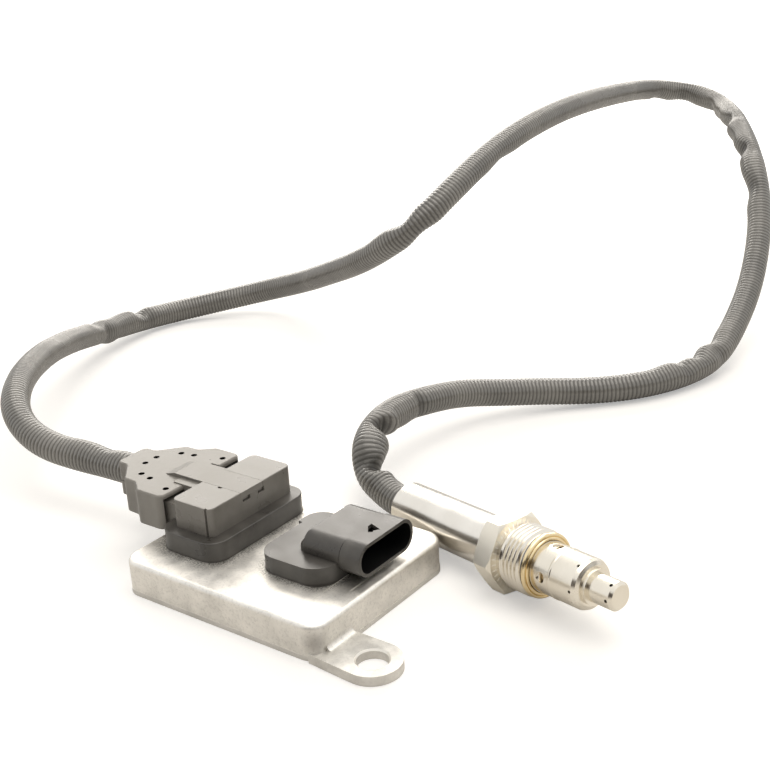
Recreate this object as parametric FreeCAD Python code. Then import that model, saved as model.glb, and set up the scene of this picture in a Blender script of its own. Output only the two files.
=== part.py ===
import FreeCAD, Part
import math
import os

os.makedirs("parts", exist_ok=True)
V = FreeCAD.Vector

# Exhaust-gas sensor with its control unit. Millimetres, +Z up, floor at z = 0.
# The origin is the middle of the control unit's footprint on the floor.

# Control unit
UNIT_X = 38.0
UNIT_Y = 31.0
UNIT_H = 11.0
UNIT_R = 6.2
WALL = 2.0
ROOF = 1.5
TOP_ROUND = 1.4
PLATE_T = 1.5
LIP = 0.15
EAR_CORNER_TOP_R = 6.0
EAR_CORNER_LOW_R = 2.2

# Mounting ears, one at each of two opposite corners
EAR_X = 51.1
EAR_Y = -24.15
EAR_R = 8.4
EAR_T = 3.0
EAR_NEAR_X = 34.8
EAR_NEAR_Y = -31.4
EAR_FAR_Y = -15.7
EAR_HOLE_R = 4.5
EAR_CHAMFER = 0.5
EAR_COVE = 2.0

# Sealing bead under the housing wall
BEAD_INSET = 0.6
BEAD_W = 0.8
BEAD_H = 0.8

# Circuit board
BOARD_X = 35.0
BOARD_Y = 28.0
BOARD_T = 1.6
BOARD_Z = 4.5
BOARD_TOP = BOARD_Z + BOARD_T
BOSS_X = 31.0
BOSS_Y = 23.5
BOSS_R = 3.2
SCREW_R = 1.1
SCREW_HEAD_R = 2.3
SCREW_HEAD_H = 1.4
SCREW_L = 4.6
CLEAR = 0.15
CHIP_SHARE = 0.45
CHIPS = [(-9.0, 3.0, -7.0, 5.0), (-8.0, -1.0, -23.0, -16.0), (24.5, 33.0, 4.0, 10.0),
         (4.0, 10.0, -24.0, -18.0)]
CAN_R = 2.9
CAN_CLEAR = 0.4
CANS = [(28.5, -14.0), (28.5, -6.5)]
SMALL_X, SMALL_Y = -8.0, 9.0
SMALL_STEP_X, SMALL_STEP_Y = 3.4, 4.0
SMALL_L, SMALL_W, SMALL_H = 2.2, 1.3, 0.8

# Header of the sensor cable, on the top face
SH_X0, SH_X1 = -33.2, -9.3
SH_Y0, SH_Y1 = -19.5, 24.0
SH_TOP = 17.1
SH_R = 6.0
PLUG_CX = -21.5
PLUG_CY = 3.0
WELL_X = 6.0
WELL_Y = 16.0
WELL_R = 3.0
WELL_Z = 13.0
FOOT_X = 7.0
FOOT_Y = 15.0
PIN_R = 0.5
PIN_ROW_X = 2.0
PIN_PITCH = 3.5
PIN_COUNT = 8
PIN_LOW = 3.9
PIN_HIGH = 17.3

# Cable plug on that header
PL_X0, PL_X1 = -29.8, -13.65
PL_Y0, PL_Y1 = -15.4, 21.4
PL_TOP = 26.1
PL_R = 2.3
PL_TOP_ROUND = 0.35
GROOVE_IN, GROOVE_W, GROOVE_DEPTH = 1.9, 0.8, 0.7
BLOCK_X = 4.9
BLOCK_Y = 14.9
BLOCK_R = 2.0
COLLAR_GROW = 0.8
BLOCK_Z = 13.3
COLLAR_Z = 16.4
BLOCK_TOP = 18.4
ROOM_TOP = 22.4
ROOM_WALL = 1.5
SEAL_LOW = 14.2
NECK_X = -37.0
NECK_Y = 15.0
NECK_Z0, NECK_Z1 = 14.1, 22.2
CONTACT_R = 1.0
CONTACT_BORE = 0.55
WIRE_R = 0.6
WIRE_Z = 20.9

# Backshell behind the plug
BS_Y = 3.2
BS_Z0, BS_Z1 = 13.6, 24.9
BS_FRONT = -34.9
BS_BACK = -67.3
BS_NECK_END = -62.3
BS_CAVITY = -60.0
BS_HALF = 18.0
BS_SEAM = 18.6
BS_SEAM_GAP = 0.25
BS_SKIN = 1.3
BS_ROUND = 2.6
BS_TOP_ROUND = 0.8
BS_PROFILE = [(BS_BACK, 6.5), (BS_NECK_END, 6.5), (-55.4, 14.0), (-50.2, 14.3), (-45.6, BS_HALF)]
WIRE_GATHER = -56.5
BRIDGE_Y = 3.0
TONGUE_Y0, TONGUE_Y1 = -1.75, 8.0
TONGUE_LOW = 24.2
TONGUE_GAP = 0.1
TONGUE_END = -13.7
HOOK_LOW = 23.2
HOOK_T = 1.4
HOOK_BACK = 0.5
HOOK_GAP = 0.4
TAB_NEAR_X, TAB_NEAR_W = -39.0, 3.3
TAB_FAR_W = 2.8
TAB_TO_PLUG = 0.4
TAB_LOW, TAB_RISE = 23.3, 0.35
SLOT_X, SLOT_W, SLOT_DEPTH = -38.4, 0.6, 1.0
DOT_X, DOT_R, DOT_DEPTH = -21.9, 0.9, 0.6
RAMP_BACK, RAMP_TOP = -46.0, -42.0
VENT_R = 1.0
VENTS = [(-57.8, 2.5), (-52.8, 8.85), (-48.0, 9.8), (-38.0, 12.7)]
VENT_DEPTH = 0.8

# Conduit
TUBE_R = 5.3
TUBE_FIT = 0.05
BUNDLE_R = 3.0
ARC_SHARE = 0.45
ROUTE = [
    (-61.0, 3.2, 19.2), (-76.0, 3.2, 19.2), (-91.5, 2.0, 19.0), (-107.0, 0.0, 20.5),
    (-119.5, 1.0, 23.5), (-131.0, 6.5, 27.0), (-142.5, 17.5, 29.5), (-157.5, 35.0, 28.5),
    (-176.0, 60.0, 24.5), (-194.0, 86.5, 17.5), (-208.5, 115.5, 10.0), (-213.5, 142.0, 6.5),
    (-209.5, 163.5, 5.5), (-194.0, 183.0, 8.0), (-174.0, 194.0, 13.0), (-148.5, 189.5, 21.5),
    (-122.0, 177.0, 32.5), (-96.0, 165.0, 43.5), (-75.0, 160.0, 55.0), (-61.5, 166.0, 66.0),
    (-56.5, 182.0, 76.0), (-56.5, 206.0, 84.0), (-56.5, 236.0, 90.0), (-58.0, 272.0, 92.5),
    (-61.5, 310.0, 91.5), (-66.0, 349.0, 88.5), (-68.5, 375.0, 86.0), (-68.0, 391.0, 84.0),
    (-61.0, 402.0, 82.0), (-49.5, 406.5, 80.0), (-38.0, 403.0, 77.5), (-28.5, 393.0, 76.0),
    (-17.5, 375.0, 76.5), (-4.0, 352.0, 76.0), (9.5, 330.0, 71.5), (21.0, 312.0, 64.0),
    (29.5, 298.5, 50.5), (35.5, 283.0, 37.5), (40.0, 263.5, 23.0), (42.5, 240.5, 12.5),
    (43.5, 220.0, 6.5), (40.0, 199.5, 5.5), (30.0, 179.5, 5.5), (16.0, 165.5, 5.5),
    (2.0, 153.5, 7.0), (-9.0, 139.0, 9.5), (-17.0, 123.0, 13.5), (-20.0, 105.5, 16.5),
    (-21.5, 89.5, 18.5), (-19.0, 76.0, 19.5), (-15.5, 64.0, 18.5), (-11.0, 56.0, 16.0),
    (-5.5, 51.0, 11.5), (2.0, 49.0, 8.5)]
# The last two points lie on the probe's axis, behind and inside the sleeve's rear end.
TUBE_BEHIND_SLEEVE = 4.8
TUBE_IN_SLEEVE = 3.0

# Header of the vehicle side, on the top face
VH_X0, VH_X1 = 1.9, 26.9
VH_Y0, VH_Y1 = -14.2, 16.5
VH_TOP = 16.4
VH_R = 6.5
BUMP_X = 0.4
BUMP_Y = 7.3
MOUTH_X = 35.0
MOUTH_Y = 5.4
MOUTH_Z = 17.7
MOUTH_W = 25.9
MOUTH_H = 10.2
MOUTH_R = 4.9
MOUTH_WALL = 1.1
COLLAR_X = 27.9
COLLAR_STEP = 0.3
BODY_BACK = 14.0
BODY_ROUND = 0.8
STEP_BACK = 11.4
STEP_TOP = 19.4
STEP_ROUND = 2.2
STEP_IN = 0.6
SEAM_W = 0.35
SEAM_DEPTH = 0.35
CAVITY_X = 18.0
LATCH = [(28.3, 7.5), (32.6, 6.0), (31.3, 4.3), (31.8, 3.6), (30.6, 2.85), (28.5, 5.6)]
TAB_PITCH = 4.2
TAB_COUNT = 5
TAB_W = 1.5
TAB_T = 0.8
TAB_FRONT = 28.0
TAB_BEND = 15.5
VF_X0, VF_X1 = 9.0, 22.0
VF_Y0, VF_Y1 = -6.0, 15.0

# Probe, measured along its own axis from the back face of the hexagon
PROBE_AT = V(56.9, 33.1, 11.0)
PROBE_AZ = -15.9
PROBE_EL = 3.9
SLEEVE_R = 8.0
SLEEVE_T = 0.6
SLEEVE_BACK = -44.0
SLEEVE_FRONT = -0.4
GROMMET_FRONT = -36.0
HEX_AF = 22.0
HEX_T = 6.7
HEX_CHAMFER_R = 11.3
HEX_CHAMFER_H = 0.8
THREAD_R = 10.0
THREAD_START = 7.7
THREAD_END = 16.5
UNDERCUT_R = 9.2
THREAD_CHAMFER = 0.6
SHELL_R = 7.5
RUN_FIT = 0.06
SHELL_BACK = -8.0
FLANGE_T0, FLANGE_T1 = 16.7, 17.2
RING_END = 18.5
RING_SPLIT = 0.52
OUTER_R = 7.48
NOSE_R = OUTER_R + 0.12
FLANGE_R = NOSE_R + 1.4
RING_R = NOSE_R + 2.09
NOSE_END = 19.0
BEAD_T = 26.0
BEAD_HALF = 0.45
BEAD_RISE = 0.14
CAP_SKIN = 0.5
SPIGOT_END = 22.0
OUTER_END = 36.1
NECKRING_R = 5.25
NECKRING_END = 37.5
TIP_R = 4.2
TIP_SKIN = 0.4
TIP_END = 45.8
SHELL_BORE = 4.6
DRUM_R = OUTER_R - 1.28
DRUM_END = 25.4
SEAT_T0, SEAT_T1 = 13.5, 15.0
SEAT_R = 3.2
ELEMENT_W = 4.0
ELEMENT_T = 1.3
ELEMENT_BACK, ELEMENT_FRONT = -22.0, 38.0
HOLDER_BACK, HOLDER_FRONT = -30.0, -14.0
LEAD_R = 0.45
LEAD_PITCH = 1.0
LEAD_X = 0.9


# Probe axes: local Z runs along the probe, local X points to the floor
azimuth = math.radians(PROBE_AZ)
elevation = math.radians(PROBE_EL)
along = V(math.cos(azimuth) * math.cos(elevation), math.sin(azimuth) * math.cos(elevation),
          math.sin(elevation))
down = V(0, 0, -1) - along * (-along.z)
down.normalize()
side = along.cross(down)
SEAT = FreeCAD.Placement(PROBE_AT, FreeCAD.Rotation(down, side, along, "ZXY"))
print("probe direction", [round(c, 5) for c in along])
SLEEVE_REAR = PROBE_AT + along * SLEEVE_BACK
for distance in (-TUBE_BEHIND_SLEEVE, TUBE_IN_SLEEVE):
    point = SLEEVE_REAR + along * distance
    ROUTE.append((point.x, point.y, point.z))


def save(name, shape):
    solids = shape.Solids
    body = solids[0] if len(solids) == 1 else Part.makeCompound(solids)
    body.exportStep("parts/" + name + ".step")
    print(name, "solids", len(solids), "volume", round(body.Volume, 1), "valid", body.isValid())
    return body


def outline(x0, x1, y0, y1, r):
    """Rectangle in plan; r is one corner radius, or four for the corners
    (x0,y0), (x1,y0), (x1,y1), (x0,y1)."""
    radii = r if isinstance(r, tuple) else (r, r, r, r)
    corners = [(x0, y0, 1, 1), (x1, y0, -1, 1), (x1, y1, -1, -1), (x0, y1, 1, -1)]
    starts = []
    for i, (x, y, sx, sy) in enumerate(corners):
        q = radii[i]
        along_y = V(x, y + sy * q, 0)
        along_x = V(x + sx * q, y, 0)
        k = q * (1 - math.sqrt(0.5))
        middle = V(x + sx * k, y + sy * k, 0)
        first, last = (along_y, along_x) if i % 2 == 0 else (along_x, along_y)
        starts.append((first, middle, last))
    edges = []
    for i in range(4):
        first, middle, last = starts[i]
        if first.distanceToPoint(last) > 1e-6:
            edges.append(Part.Arc(first, middle, last).toShape())
        nxt = starts[(i + 1) % 4][0]
        edges.append(Part.LineSegment(last, nxt).toShape())
    return Part.Wire(edges)


def prism(wire, z0, z1):
    face = Part.Face(wire)
    face.translate(V(0, 0, z0))
    return face.extrude(V(0, 0, z1 - z0))


def slab(x0, x1, y0, y1, z0, z1, r=0.0):
    if isinstance(r, tuple) or r > 0:
        return prism(outline(x0, x1, y0, y1, r), z0, z1)
    return Part.makeBox(x1 - x0, y1 - y0, z1 - z0, V(x0, y0, z0))


def polygon(points, z0, z1):
    loop = [V(x, y, 0) for x, y in points]
    return prism(Part.makePolygon(loop + [loop[0]]), z0, z1)


def cyl(r, z0, z1, x=0.0, y=0.0):
    return Part.makeCylinder(r, z1 - z0, V(x, y, z0))


def fuse(shapes):
    joined = shapes[0]
    for shape in shapes[1:]:
        joined = joined.fuse(shape)
    return joined.removeSplitter()


def round_edges(shape, radius, wanted):
    edges = [e for e in shape.Edges if wanted(e)]
    return shape.makeFillet(radius, edges)


def at_height(z, low=None):
    def test(edge):
        box = edge.BoundBox
        flat = abs(box.ZMin - z) < 1e-4 and abs(box.ZMax - z) < 1e-4
        return flat and (low is None or box.XMin > low)
    return test


def smooth_wire(points, name=None):
    """Straight runs joined by tangent arcs."""
    pts = [V(*p) for p in points]
    edges = []
    here = pts[0]
    radii = []
    for i in range(1, len(pts) - 1):
        before = pts[i] - pts[i - 1]
        after = pts[i + 1] - pts[i]
        turn = before.getAngle(after)
        cut = ARC_SHARE * min(before.Length, after.Length)
        radius = cut / math.tan(turn / 2)
        radii.append(radius)
        b = V(before).normalize()
        a = V(after).normalize()
        start = pts[i] - b * cut
        end = pts[i] + a * cut
        inward = V(a - b).normalize()
        middle = pts[i] + inward * (radius / math.cos(turn / 2) - radius)
        edges.append(Part.LineSegment(here, start).toShape())
        edges.append(Part.Arc(start, middle, end).toShape())
        here = end
    edges.append(Part.LineSegment(here, pts[-1]).toShape())
    wire = Part.Wire(edges)
    if name:
        print(name, "length", round(wire.Length, 1), "radii", [round(r, 1) for r in radii])
    return wire


def tube(points, r, name=None):
    wire = smooth_wire(points, name)
    first = V(*points[0])
    along = V(*points[1]) - first
    circle = Part.Wire([Part.Circle(first, along, r).toShape()])
    return wire.makePipeShell([circle], True, False)


# Control unit: housing with ears

def ear_plan(z0, z1):
    near = [(UNIT_X - 8.0, EAR_NEAR_Y + 3.0), (EAR_NEAR_X, EAR_NEAR_Y + 0.4), (EAR_NEAR_X, EAR_NEAR_Y),
            (EAR_X - 3.6, EAR_Y - EAR_R + 0.15), (EAR_X, EAR_Y - EAR_R), (EAR_X, EAR_Y + EAR_R),
            (UNIT_X - 4.0, EAR_FAR_Y), (UNIT_X - 8.0, EAR_FAR_Y - 3.0)]
    return fuse([polygon(near, z0, z1), cyl(EAR_R, z0, z1, EAR_X, EAR_Y)])


def turned(shape):
    copy = shape.copy()
    copy.rotate(V(0, 0, 0), V(0, 0, 1), 180)
    return copy


def both(shape):
    return [shape, turned(shape)]


def housing_block():
    block = prism(outline(-UNIT_X, UNIT_X, -UNIT_Y, UNIT_Y, (UNIT_R, 0.0, UNIT_R, 0.0)), PLATE_T, UNIT_H)
    for sx, sy in ((1, -1), (-1, 1)):
        edge = [e for e in block.Edges if e.BoundBox.ZLength > 5
                and abs(e.BoundBox.XMin - sx * UNIT_X) < 0.01 and abs(e.BoundBox.YMin - sy * UNIT_Y) < 0.01][0]
        low_first = edge.valueAt(edge.FirstParameter).z < edge.valueAt(edge.LastParameter).z
        r1 = EAR_CORNER_LOW_R if low_first else EAR_CORNER_TOP_R
        r2 = EAR_CORNER_TOP_R if low_first else EAR_CORNER_LOW_R
        block = block.makeFillet(r1, r2, [edge])
    return round_edges(block, TOP_ROUND, at_height(UNIT_H))


housing = housing_block()
cove_w = EAR_FAR_Y - EAR_NEAR_Y - 4.5
cove = Part.makeBox(EAR_COVE + 1.0, cove_w, EAR_COVE, V(UNIT_X - 1.0, EAR_NEAR_Y + 4.0, EAR_T))
hollow_at = V(UNIT_X + EAR_COVE, EAR_NEAR_Y - 5, EAR_T + EAR_COVE)
cove = cove.cut(Part.makeCylinder(EAR_COVE, 40, hollow_at, V(0, 1, 0)))
housing = fuse([housing] + both(ear_plan(0.0, EAR_T)) + both(cove))
pocket = slab(-UNIT_X + WALL, UNIT_X - WALL, -UNIT_Y + WALL, UNIT_Y - WALL, -1.0, UNIT_H - ROOF,
              UNIT_R - WALL)
housing = housing.cut(pocket)
bosses = [cyl(BOSS_R, BOARD_TOP, UNIT_H - ROOF, sx * BOSS_X, sy * BOSS_Y)
          for sx in (-1, 1) for sy in (-1, 1)]
housing = fuse([housing] + bosses)
for sx in (-1, 1):
    for sy in (-1, 1):
        hole_end = BOARD_TOP + SCREW_L - BOARD_T
        housing = housing.cut(cyl(SCREW_R, BOARD_TOP - 1, hole_end, sx * BOSS_X, sy * BOSS_Y))
for shape in both(cyl(EAR_HOLE_R, -1, EAR_T + 1, EAR_X, EAR_Y)):
    housing = housing.cut(shape)
chamfer = Part.makeCone(EAR_HOLE_R, EAR_HOLE_R + EAR_CHAMFER, EAR_CHAMFER,
                        V(EAR_X, EAR_Y, EAR_T - EAR_CHAMFER))
for shape in both(chamfer):
    housing = housing.cut(shape)
sensor_window = slab(PLUG_CX - FOOT_X, PLUG_CX + FOOT_X, PLUG_CY - FOOT_Y, PLUG_CY + FOOT_Y,
                     UNIT_H - ROOF - 1, UNIT_H + 1)
vehicle_window = slab(VF_X0, VF_X1, VF_Y0, VF_Y1, UNIT_H - ROOF - 1, UNIT_H + 1)
housing = housing.cut(sensor_window).cut(vehicle_window)


def bead_ring(z0, z1):
    outer = slab(-UNIT_X + BEAD_INSET, UNIT_X - BEAD_INSET, -UNIT_Y + BEAD_INSET, UNIT_Y - BEAD_INSET,
                 z0, z1, UNIT_R - BEAD_INSET)
    far = BEAD_INSET + BEAD_W
    inner = slab(-UNIT_X + far, UNIT_X - far, -UNIT_Y + far, UNIT_Y - far, z0 - 1, z1 + 1, UNIT_R - far)
    return outer.cut(inner)


bead = bead_ring(PLATE_T, PLATE_T + BEAD_H)
housing = housing.cut(bead)
save("housing", housing)
save("sealing_bead", bead)

# Pressed base plate, its lip a little proud of the walls
plate = slab(-UNIT_X - LIP, UNIT_X + LIP, -UNIT_Y - LIP, UNIT_Y + LIP, 0.0, PLATE_T, UNIT_R + LIP)
for shape in both(ear_plan(-1.0, PLATE_T)):
    inside = slab(-UNIT_X + WALL, UNIT_X - WALL, -UNIT_Y + WALL, UNIT_Y - WALL, -2.0, PLATE_T + 1,
                  UNIT_R - WALL)
    plate = plate.cut(shape.cut(inside))
save("base_plate", plate)

# Circuit board, its screws and its components
board = slab(-BOARD_X, BOARD_X, -BOARD_Y, BOARD_Y, BOARD_Z, BOARD_TOP, UNIT_R - WALL - 0.5)
screws = []
for sx in (-1, 1):
    for sy in (-1, 1):
        board = board.cut(cyl(SCREW_R + CLEAR, BOARD_Z - 1, BOARD_TOP + 1, sx * BOSS_X, sy * BOSS_Y))
        shank = cyl(SCREW_R, BOARD_Z - 0.5, BOARD_Z + SCREW_L - 0.4, sx * BOSS_X, sy * BOSS_Y)
        head = cyl(SCREW_HEAD_R, BOARD_Z - SCREW_HEAD_H, BOARD_Z, sx * BOSS_X, sy * BOSS_Y)
        socket = slab(sx * BOSS_X - 0.35, sx * BOSS_X + 0.35, sy * BOSS_Y - 1.5, sy * BOSS_Y + 1.5,
                      BOARD_Z - SCREW_HEAD_H - 1, BOARD_Z - SCREW_HEAD_H + 0.6)
        screws.append(fuse([head, shank]).cut(socket))


def header_pin_places():
    for i in range(PIN_COUNT):
        x = PLUG_CX + (PIN_ROW_X if i % 2 else -PIN_ROW_X)
        y = PLUG_CY + PIN_PITCH * (i - (PIN_COUNT - 1) / 2)
        yield x, y


pins = [cyl(PIN_R, PIN_LOW, PIN_HIGH, x, y) for x, y in header_pin_places()]


def tab_shape(y):
    half = TAB_T / 2
    low = slab(TAB_BEND - half, TAB_BEND + half, y - TAB_W / 2, y + TAB_W / 2, PIN_LOW, MOUTH_Z + half)
    out = slab(TAB_BEND - half, TAB_FRONT, y - TAB_W / 2, y + TAB_W / 2, MOUTH_Z - half, MOUTH_Z + half)
    tip = [e for e in out.Edges if abs(e.BoundBox.XMin - TAB_FRONT) < 1e-6 and e.BoundBox.YLength > 0.5]
    return fuse([low, out.makeChamfer(0.25, tip)])


tabs = [tab_shape(MOUTH_Y + TAB_PITCH * (i - (TAB_COUNT - 1) / 2)) for i in range(TAB_COUNT)]
for pin in pins + tabs:
    board = board.cut(pin)
save("circuit_board", board)
save("board_screws", Part.makeCompound(screws))

headroom = UNIT_H - ROOF - BOARD_TOP
chips = [slab(x0, x1, y0, y1, BOARD_TOP, BOARD_TOP + CHIP_SHARE * headroom) for x0, x1, y0, y1 in CHIPS]
cans = [cyl(CAN_R, BOARD_TOP, UNIT_H - ROOF - CAN_CLEAR, x, y) for x, y in CANS]
small = []
for i in range(4):
    for k in range(3):
        x = SMALL_X + SMALL_STEP_X * i
        y = SMALL_Y + SMALL_STEP_Y * k
        small.append(slab(x, x + SMALL_L, y, y + SMALL_W, BOARD_TOP, BOARD_TOP + SMALL_H))
save("board_components", Part.makeCompound(chips + cans + small))

# Header of the sensor cable
flange = slab(SH_X0, SH_X1, SH_Y0, SH_Y1, UNIT_H, SH_TOP, SH_R)
flange = round_edges(flange, 0.4, at_height(SH_TOP))
foot = slab(PLUG_CX - FOOT_X, PLUG_CX + FOOT_X, PLUG_CY - FOOT_Y, PLUG_CY + FOOT_Y, BOARD_TOP, UNIT_H)
sensor_header = fuse([flange, foot])
sensor_header = sensor_header.cut(slab(PLUG_CX - WELL_X, PLUG_CX + WELL_X, PLUG_CY - WELL_Y,
                                       PLUG_CY + WELL_Y,
                                       WELL_Z, SH_TOP + 1, WELL_R))
for pin in pins:
    sensor_header = sensor_header.cut(pin)
save("sensor_header", sensor_header)
save("sensor_header_pins", Part.makeCompound(pins))

# Cable plug with its seal, contacts and wires
plug = slab(PL_X0, PL_X1, PL_Y0, PL_Y1, SH_TOP, PL_TOP, PL_R)
plug = round_edges(plug, PL_TOP_ROUND, at_height(PL_TOP))
room = slab(PL_X0 + ROOM_WALL, PL_X1 - ROOM_WALL, PL_Y0 + ROOM_WALL, PL_Y1 - ROOM_WALL, BLOCK_TOP,
            ROOM_TOP, 1.0)
plug = plug.cut(room)
block = slab(PLUG_CX - BLOCK_X, PLUG_CX + BLOCK_X, PLUG_CY - BLOCK_Y, PLUG_CY + BLOCK_Y, BLOCK_Z,
             BLOCK_TOP, BLOCK_R)
collar_x = BLOCK_X + COLLAR_GROW
collar_y = BLOCK_Y + COLLAR_GROW
collar = slab(PLUG_CX - collar_x, PLUG_CX + collar_x, PLUG_CY - collar_y, PLUG_CY + collar_y,
              COLLAR_Z, SH_TOP + 0.5, BLOCK_R + COLLAR_GROW)
neck = slab(NECK_X, PL_X0 + 1.0, PLUG_CY - NECK_Y, PLUG_CY + NECK_Y, NECK_Z0, NECK_Z1)
header_room = slab(SH_X0 - 1, SH_X1, SH_Y0, SH_Y1, NECK_Z0 - 1, SH_TOP)
neck = neck.cut(header_room)
neck_low = slab(NECK_X, SH_X0 - 0.2, PLUG_CY - NECK_Y, PLUG_CY + NECK_Y, NECK_Z0, NECK_Z1)
plug = fuse([plug, block, collar, neck, neck_low])
passage = slab(NECK_X - 1, PL_X0 + ROOM_WALL + 1, PLUG_CY - NECK_Y + 1.5, PLUG_CY + NECK_Y - 1.5,
               BLOCK_TOP + 0.6,
               NECK_Z1 - 0.6)
plug = plug.cut(passage)
slot = slab(PL_X0 - 1, PL_X1 + 1, TONGUE_Y0 - TONGUE_GAP, TONGUE_Y1 + TONGUE_GAP, TONGUE_LOW, PL_TOP + 1)
plug = plug.cut(slot)
HOOKS = [(TONGUE_Y0 + 0.9, TONGUE_Y0 + 3.4), (TONGUE_Y1 - 2.1, TONGUE_Y1)]
for y0, y1 in HOOKS:
    hook_back = TONGUE_END - HOOK_BACK - HOOK_T - HOOK_GAP
    plug = plug.cut(slab(hook_back, PL_X1 + 1, y0 - HOOK_GAP, y1 + HOOK_GAP, HOOK_LOW - HOOK_GAP,
                         TONGUE_LOW + 0.1))
plug = plug.cut(cyl(DOT_R, PL_TOP - DOT_DEPTH, PL_TOP + 1, DOT_X, TONGUE_Y0 - TONGUE_GAP))
groove_x = PL_X1 - GROOVE_IN
plug = plug.cut(slab(groove_x - GROOVE_W / 2, groove_x + GROOVE_W / 2, PL_Y0 - 1, PL_Y0 + GROOVE_DEPTH,
                     SH_TOP - 1, PL_TOP + 1))
contacts = []
for x, y in header_pin_places():
    contact = cyl(CONTACT_R, BLOCK_Z + 0.2, BLOCK_TOP, x, y)
    plug = plug.cut(cyl(CONTACT_R, BLOCK_Z - 1, BLOCK_TOP, x, y))
    contacts.append(contact.cut(cyl(CONTACT_BORE, BLOCK_Z - 1, PIN_HIGH + 0.3, x, y)))
save("plug_body", plug)
save("plug_contacts", Part.makeCompound(contacts))

seal = slab(PLUG_CX - WELL_X, PLUG_CX + WELL_X, PLUG_CY - WELL_Y, PLUG_CY + WELL_Y, SEAL_LOW, COLLAR_Z,
            WELL_R)
seal = seal.cut(slab(PLUG_CX - BLOCK_X, PLUG_CX + BLOCK_X, PLUG_CY - BLOCK_Y, PLUG_CY + BLOCK_Y,
                     SEAL_LOW - 1, COLLAR_Z + 1, BLOCK_R))
save("plug_seal", seal)

wires = []
for i, (x, y) in enumerate(header_pin_places()):
    turn = 2 * math.pi * (i + 0.5) / PIN_COUNT
    end_y = BS_Y - BUNDLE_R * math.cos(turn / 2)
    end_z = ROUTE[0][2] + (1.9 if i % 2 else -1.9) * math.sin(turn / 2)
    path = [(x, y, BLOCK_TOP), (x, y, WIRE_Z), (NECK_X - 2.0, y, WIRE_Z), (WIRE_GATHER, end_y, end_z),
            (ROUTE[0][0], end_y, end_z)]
    wires.append(tube(path, WIRE_R))
save("plug_wires", Part.makeCompound(wires))


# Backshell

def rounded_polygon(points, radius, z0, z1):
    """Closed outline whose corners are tangent arcs, no larger than its sides allow."""
    pts = [V(x, y, 0) for x, y in points]
    edges = []
    ends = []
    for i in range(len(pts)):
        before = pts[i] - pts[i - 1]
        after = pts[(i + 1) % len(pts)] - pts[i]
        half = before.getAngle(after) / 2
        cut = min(radius * math.tan(half), ARC_SHARE * min(before.Length, after.Length))
        r = cut / math.tan(half)
        b = V(before).normalize()
        a = V(after).normalize()
        middle = pts[i] + V(a - b).normalize() * (r / math.cos(half) - r)
        ends.append((pts[i] - b * cut, middle, pts[i] + a * cut))
    for i, (start, middle, end) in enumerate(ends):
        edges.append(Part.Arc(start, middle, end).toShape())
        edges.append(Part.LineSegment(end, ends[(i + 1) % len(ends)][0]).toShape())
    return prism(Part.Wire(edges), z0, z1)


def shell_plan(inset, x0, x1, z0, z1, front=BS_FRONT):
    upper = [(x, half - inset) for x, half in BS_PROFILE + [(front, BS_HALF)]]
    points = [(x, BS_Y + h) for x, h in upper] + [(x, BS_Y - h) for x, h in reversed(upper)]
    body = rounded_polygon(points, BS_ROUND, z0, z1)
    window = slab(x0, x1, BS_Y - 30, BS_Y + 30, z0, z1)
    return body.common(window)


cover = shell_plan(0.0, BS_BACK, BS_FRONT, BS_Z0, BS_Z1)
cover = round_edges(cover, BS_TOP_ROUND, at_height(BS_Z1))
ramp = Part.makePolygon([V(RAMP_BACK, 0, BS_Z1 - 0.6), V(RAMP_BACK, 0, BS_Z1), V(RAMP_TOP, 0, PL_TOP),
                         V(TONGUE_END, 0, PL_TOP), V(TONGUE_END, 0, TONGUE_LOW), V(BS_FRONT, 0, TONGUE_LOW),
                         V(BS_FRONT - 1, 0, BS_Z1 - 0.6), V(RAMP_BACK, 0, BS_Z1 - 0.6)])
tongue = Part.Face(ramp).extrude(V(0, TONGUE_Y1 - TONGUE_Y0, 0))
tongue.translate(V(0, TONGUE_Y0, 0))
tab_end = PL_X0 - TAB_TO_PLUG
near_tab = slab(TAB_NEAR_X, tab_end, TONGUE_Y0 - TAB_NEAR_W, TONGUE_Y0 + 1, TAB_LOW, BS_Z1 + TAB_RISE)
far_tab = slab(BS_FRONT - 2, tab_end, TONGUE_Y1 - 1, TONGUE_Y1 + TAB_FAR_W, TAB_LOW, BS_Z1)
far_slot = slab(SLOT_X, BS_FRONT + 1, TONGUE_Y1 + TAB_FAR_W, TONGUE_Y1 + TAB_FAR_W + SLOT_W,
                BS_Z1 - SLOT_DEPTH, BS_Z1 + 1)
hook_end = TONGUE_END - HOOK_BACK
hooks = [slab(hook_end - HOOK_T, hook_end, y0, y1, HOOK_LOW, TONGUE_LOW) for y0, y1 in HOOKS]
cover = cover.cut(slab(BS_BACK - 1, BS_NECK_END, BS_Y - 8, BS_Y + 8, BS_Z0 - 1, BS_SEAM))
cover = cover.cut(shell_plan(BS_SKIN, BS_CAVITY, BS_FRONT, BS_Z0, BS_Z1 - BS_SKIN, BS_FRONT + 2 * BS_ROUND))
cover = cover.cut(far_slot)
cover = fuse([cover, tongue, near_tab, far_tab] + hooks)
cover = cover.cut(slab(BS_NECK_END, BS_CAVITY + 0.1, BS_Y - BRIDGE_Y, BS_Y + BRIDGE_Y, BS_Z0 - 1,
                       BS_Z0 + 1.5))
cord_start = V(*ROUTE[0])
entry = Part.makeCylinder(TUBE_R + TUBE_FIT, cord_start.x - BS_BACK + 1,
                          V(BS_BACK - 1, cord_start.y, cord_start.z), V(1, 0, 0))
way = Part.makeCylinder(BUNDLE_R + 1.2, 4, V(cord_start.x - 1, cord_start.y, cord_start.z), V(1, 0, 0))
cover = cover.cut(entry).cut(way)
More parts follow.
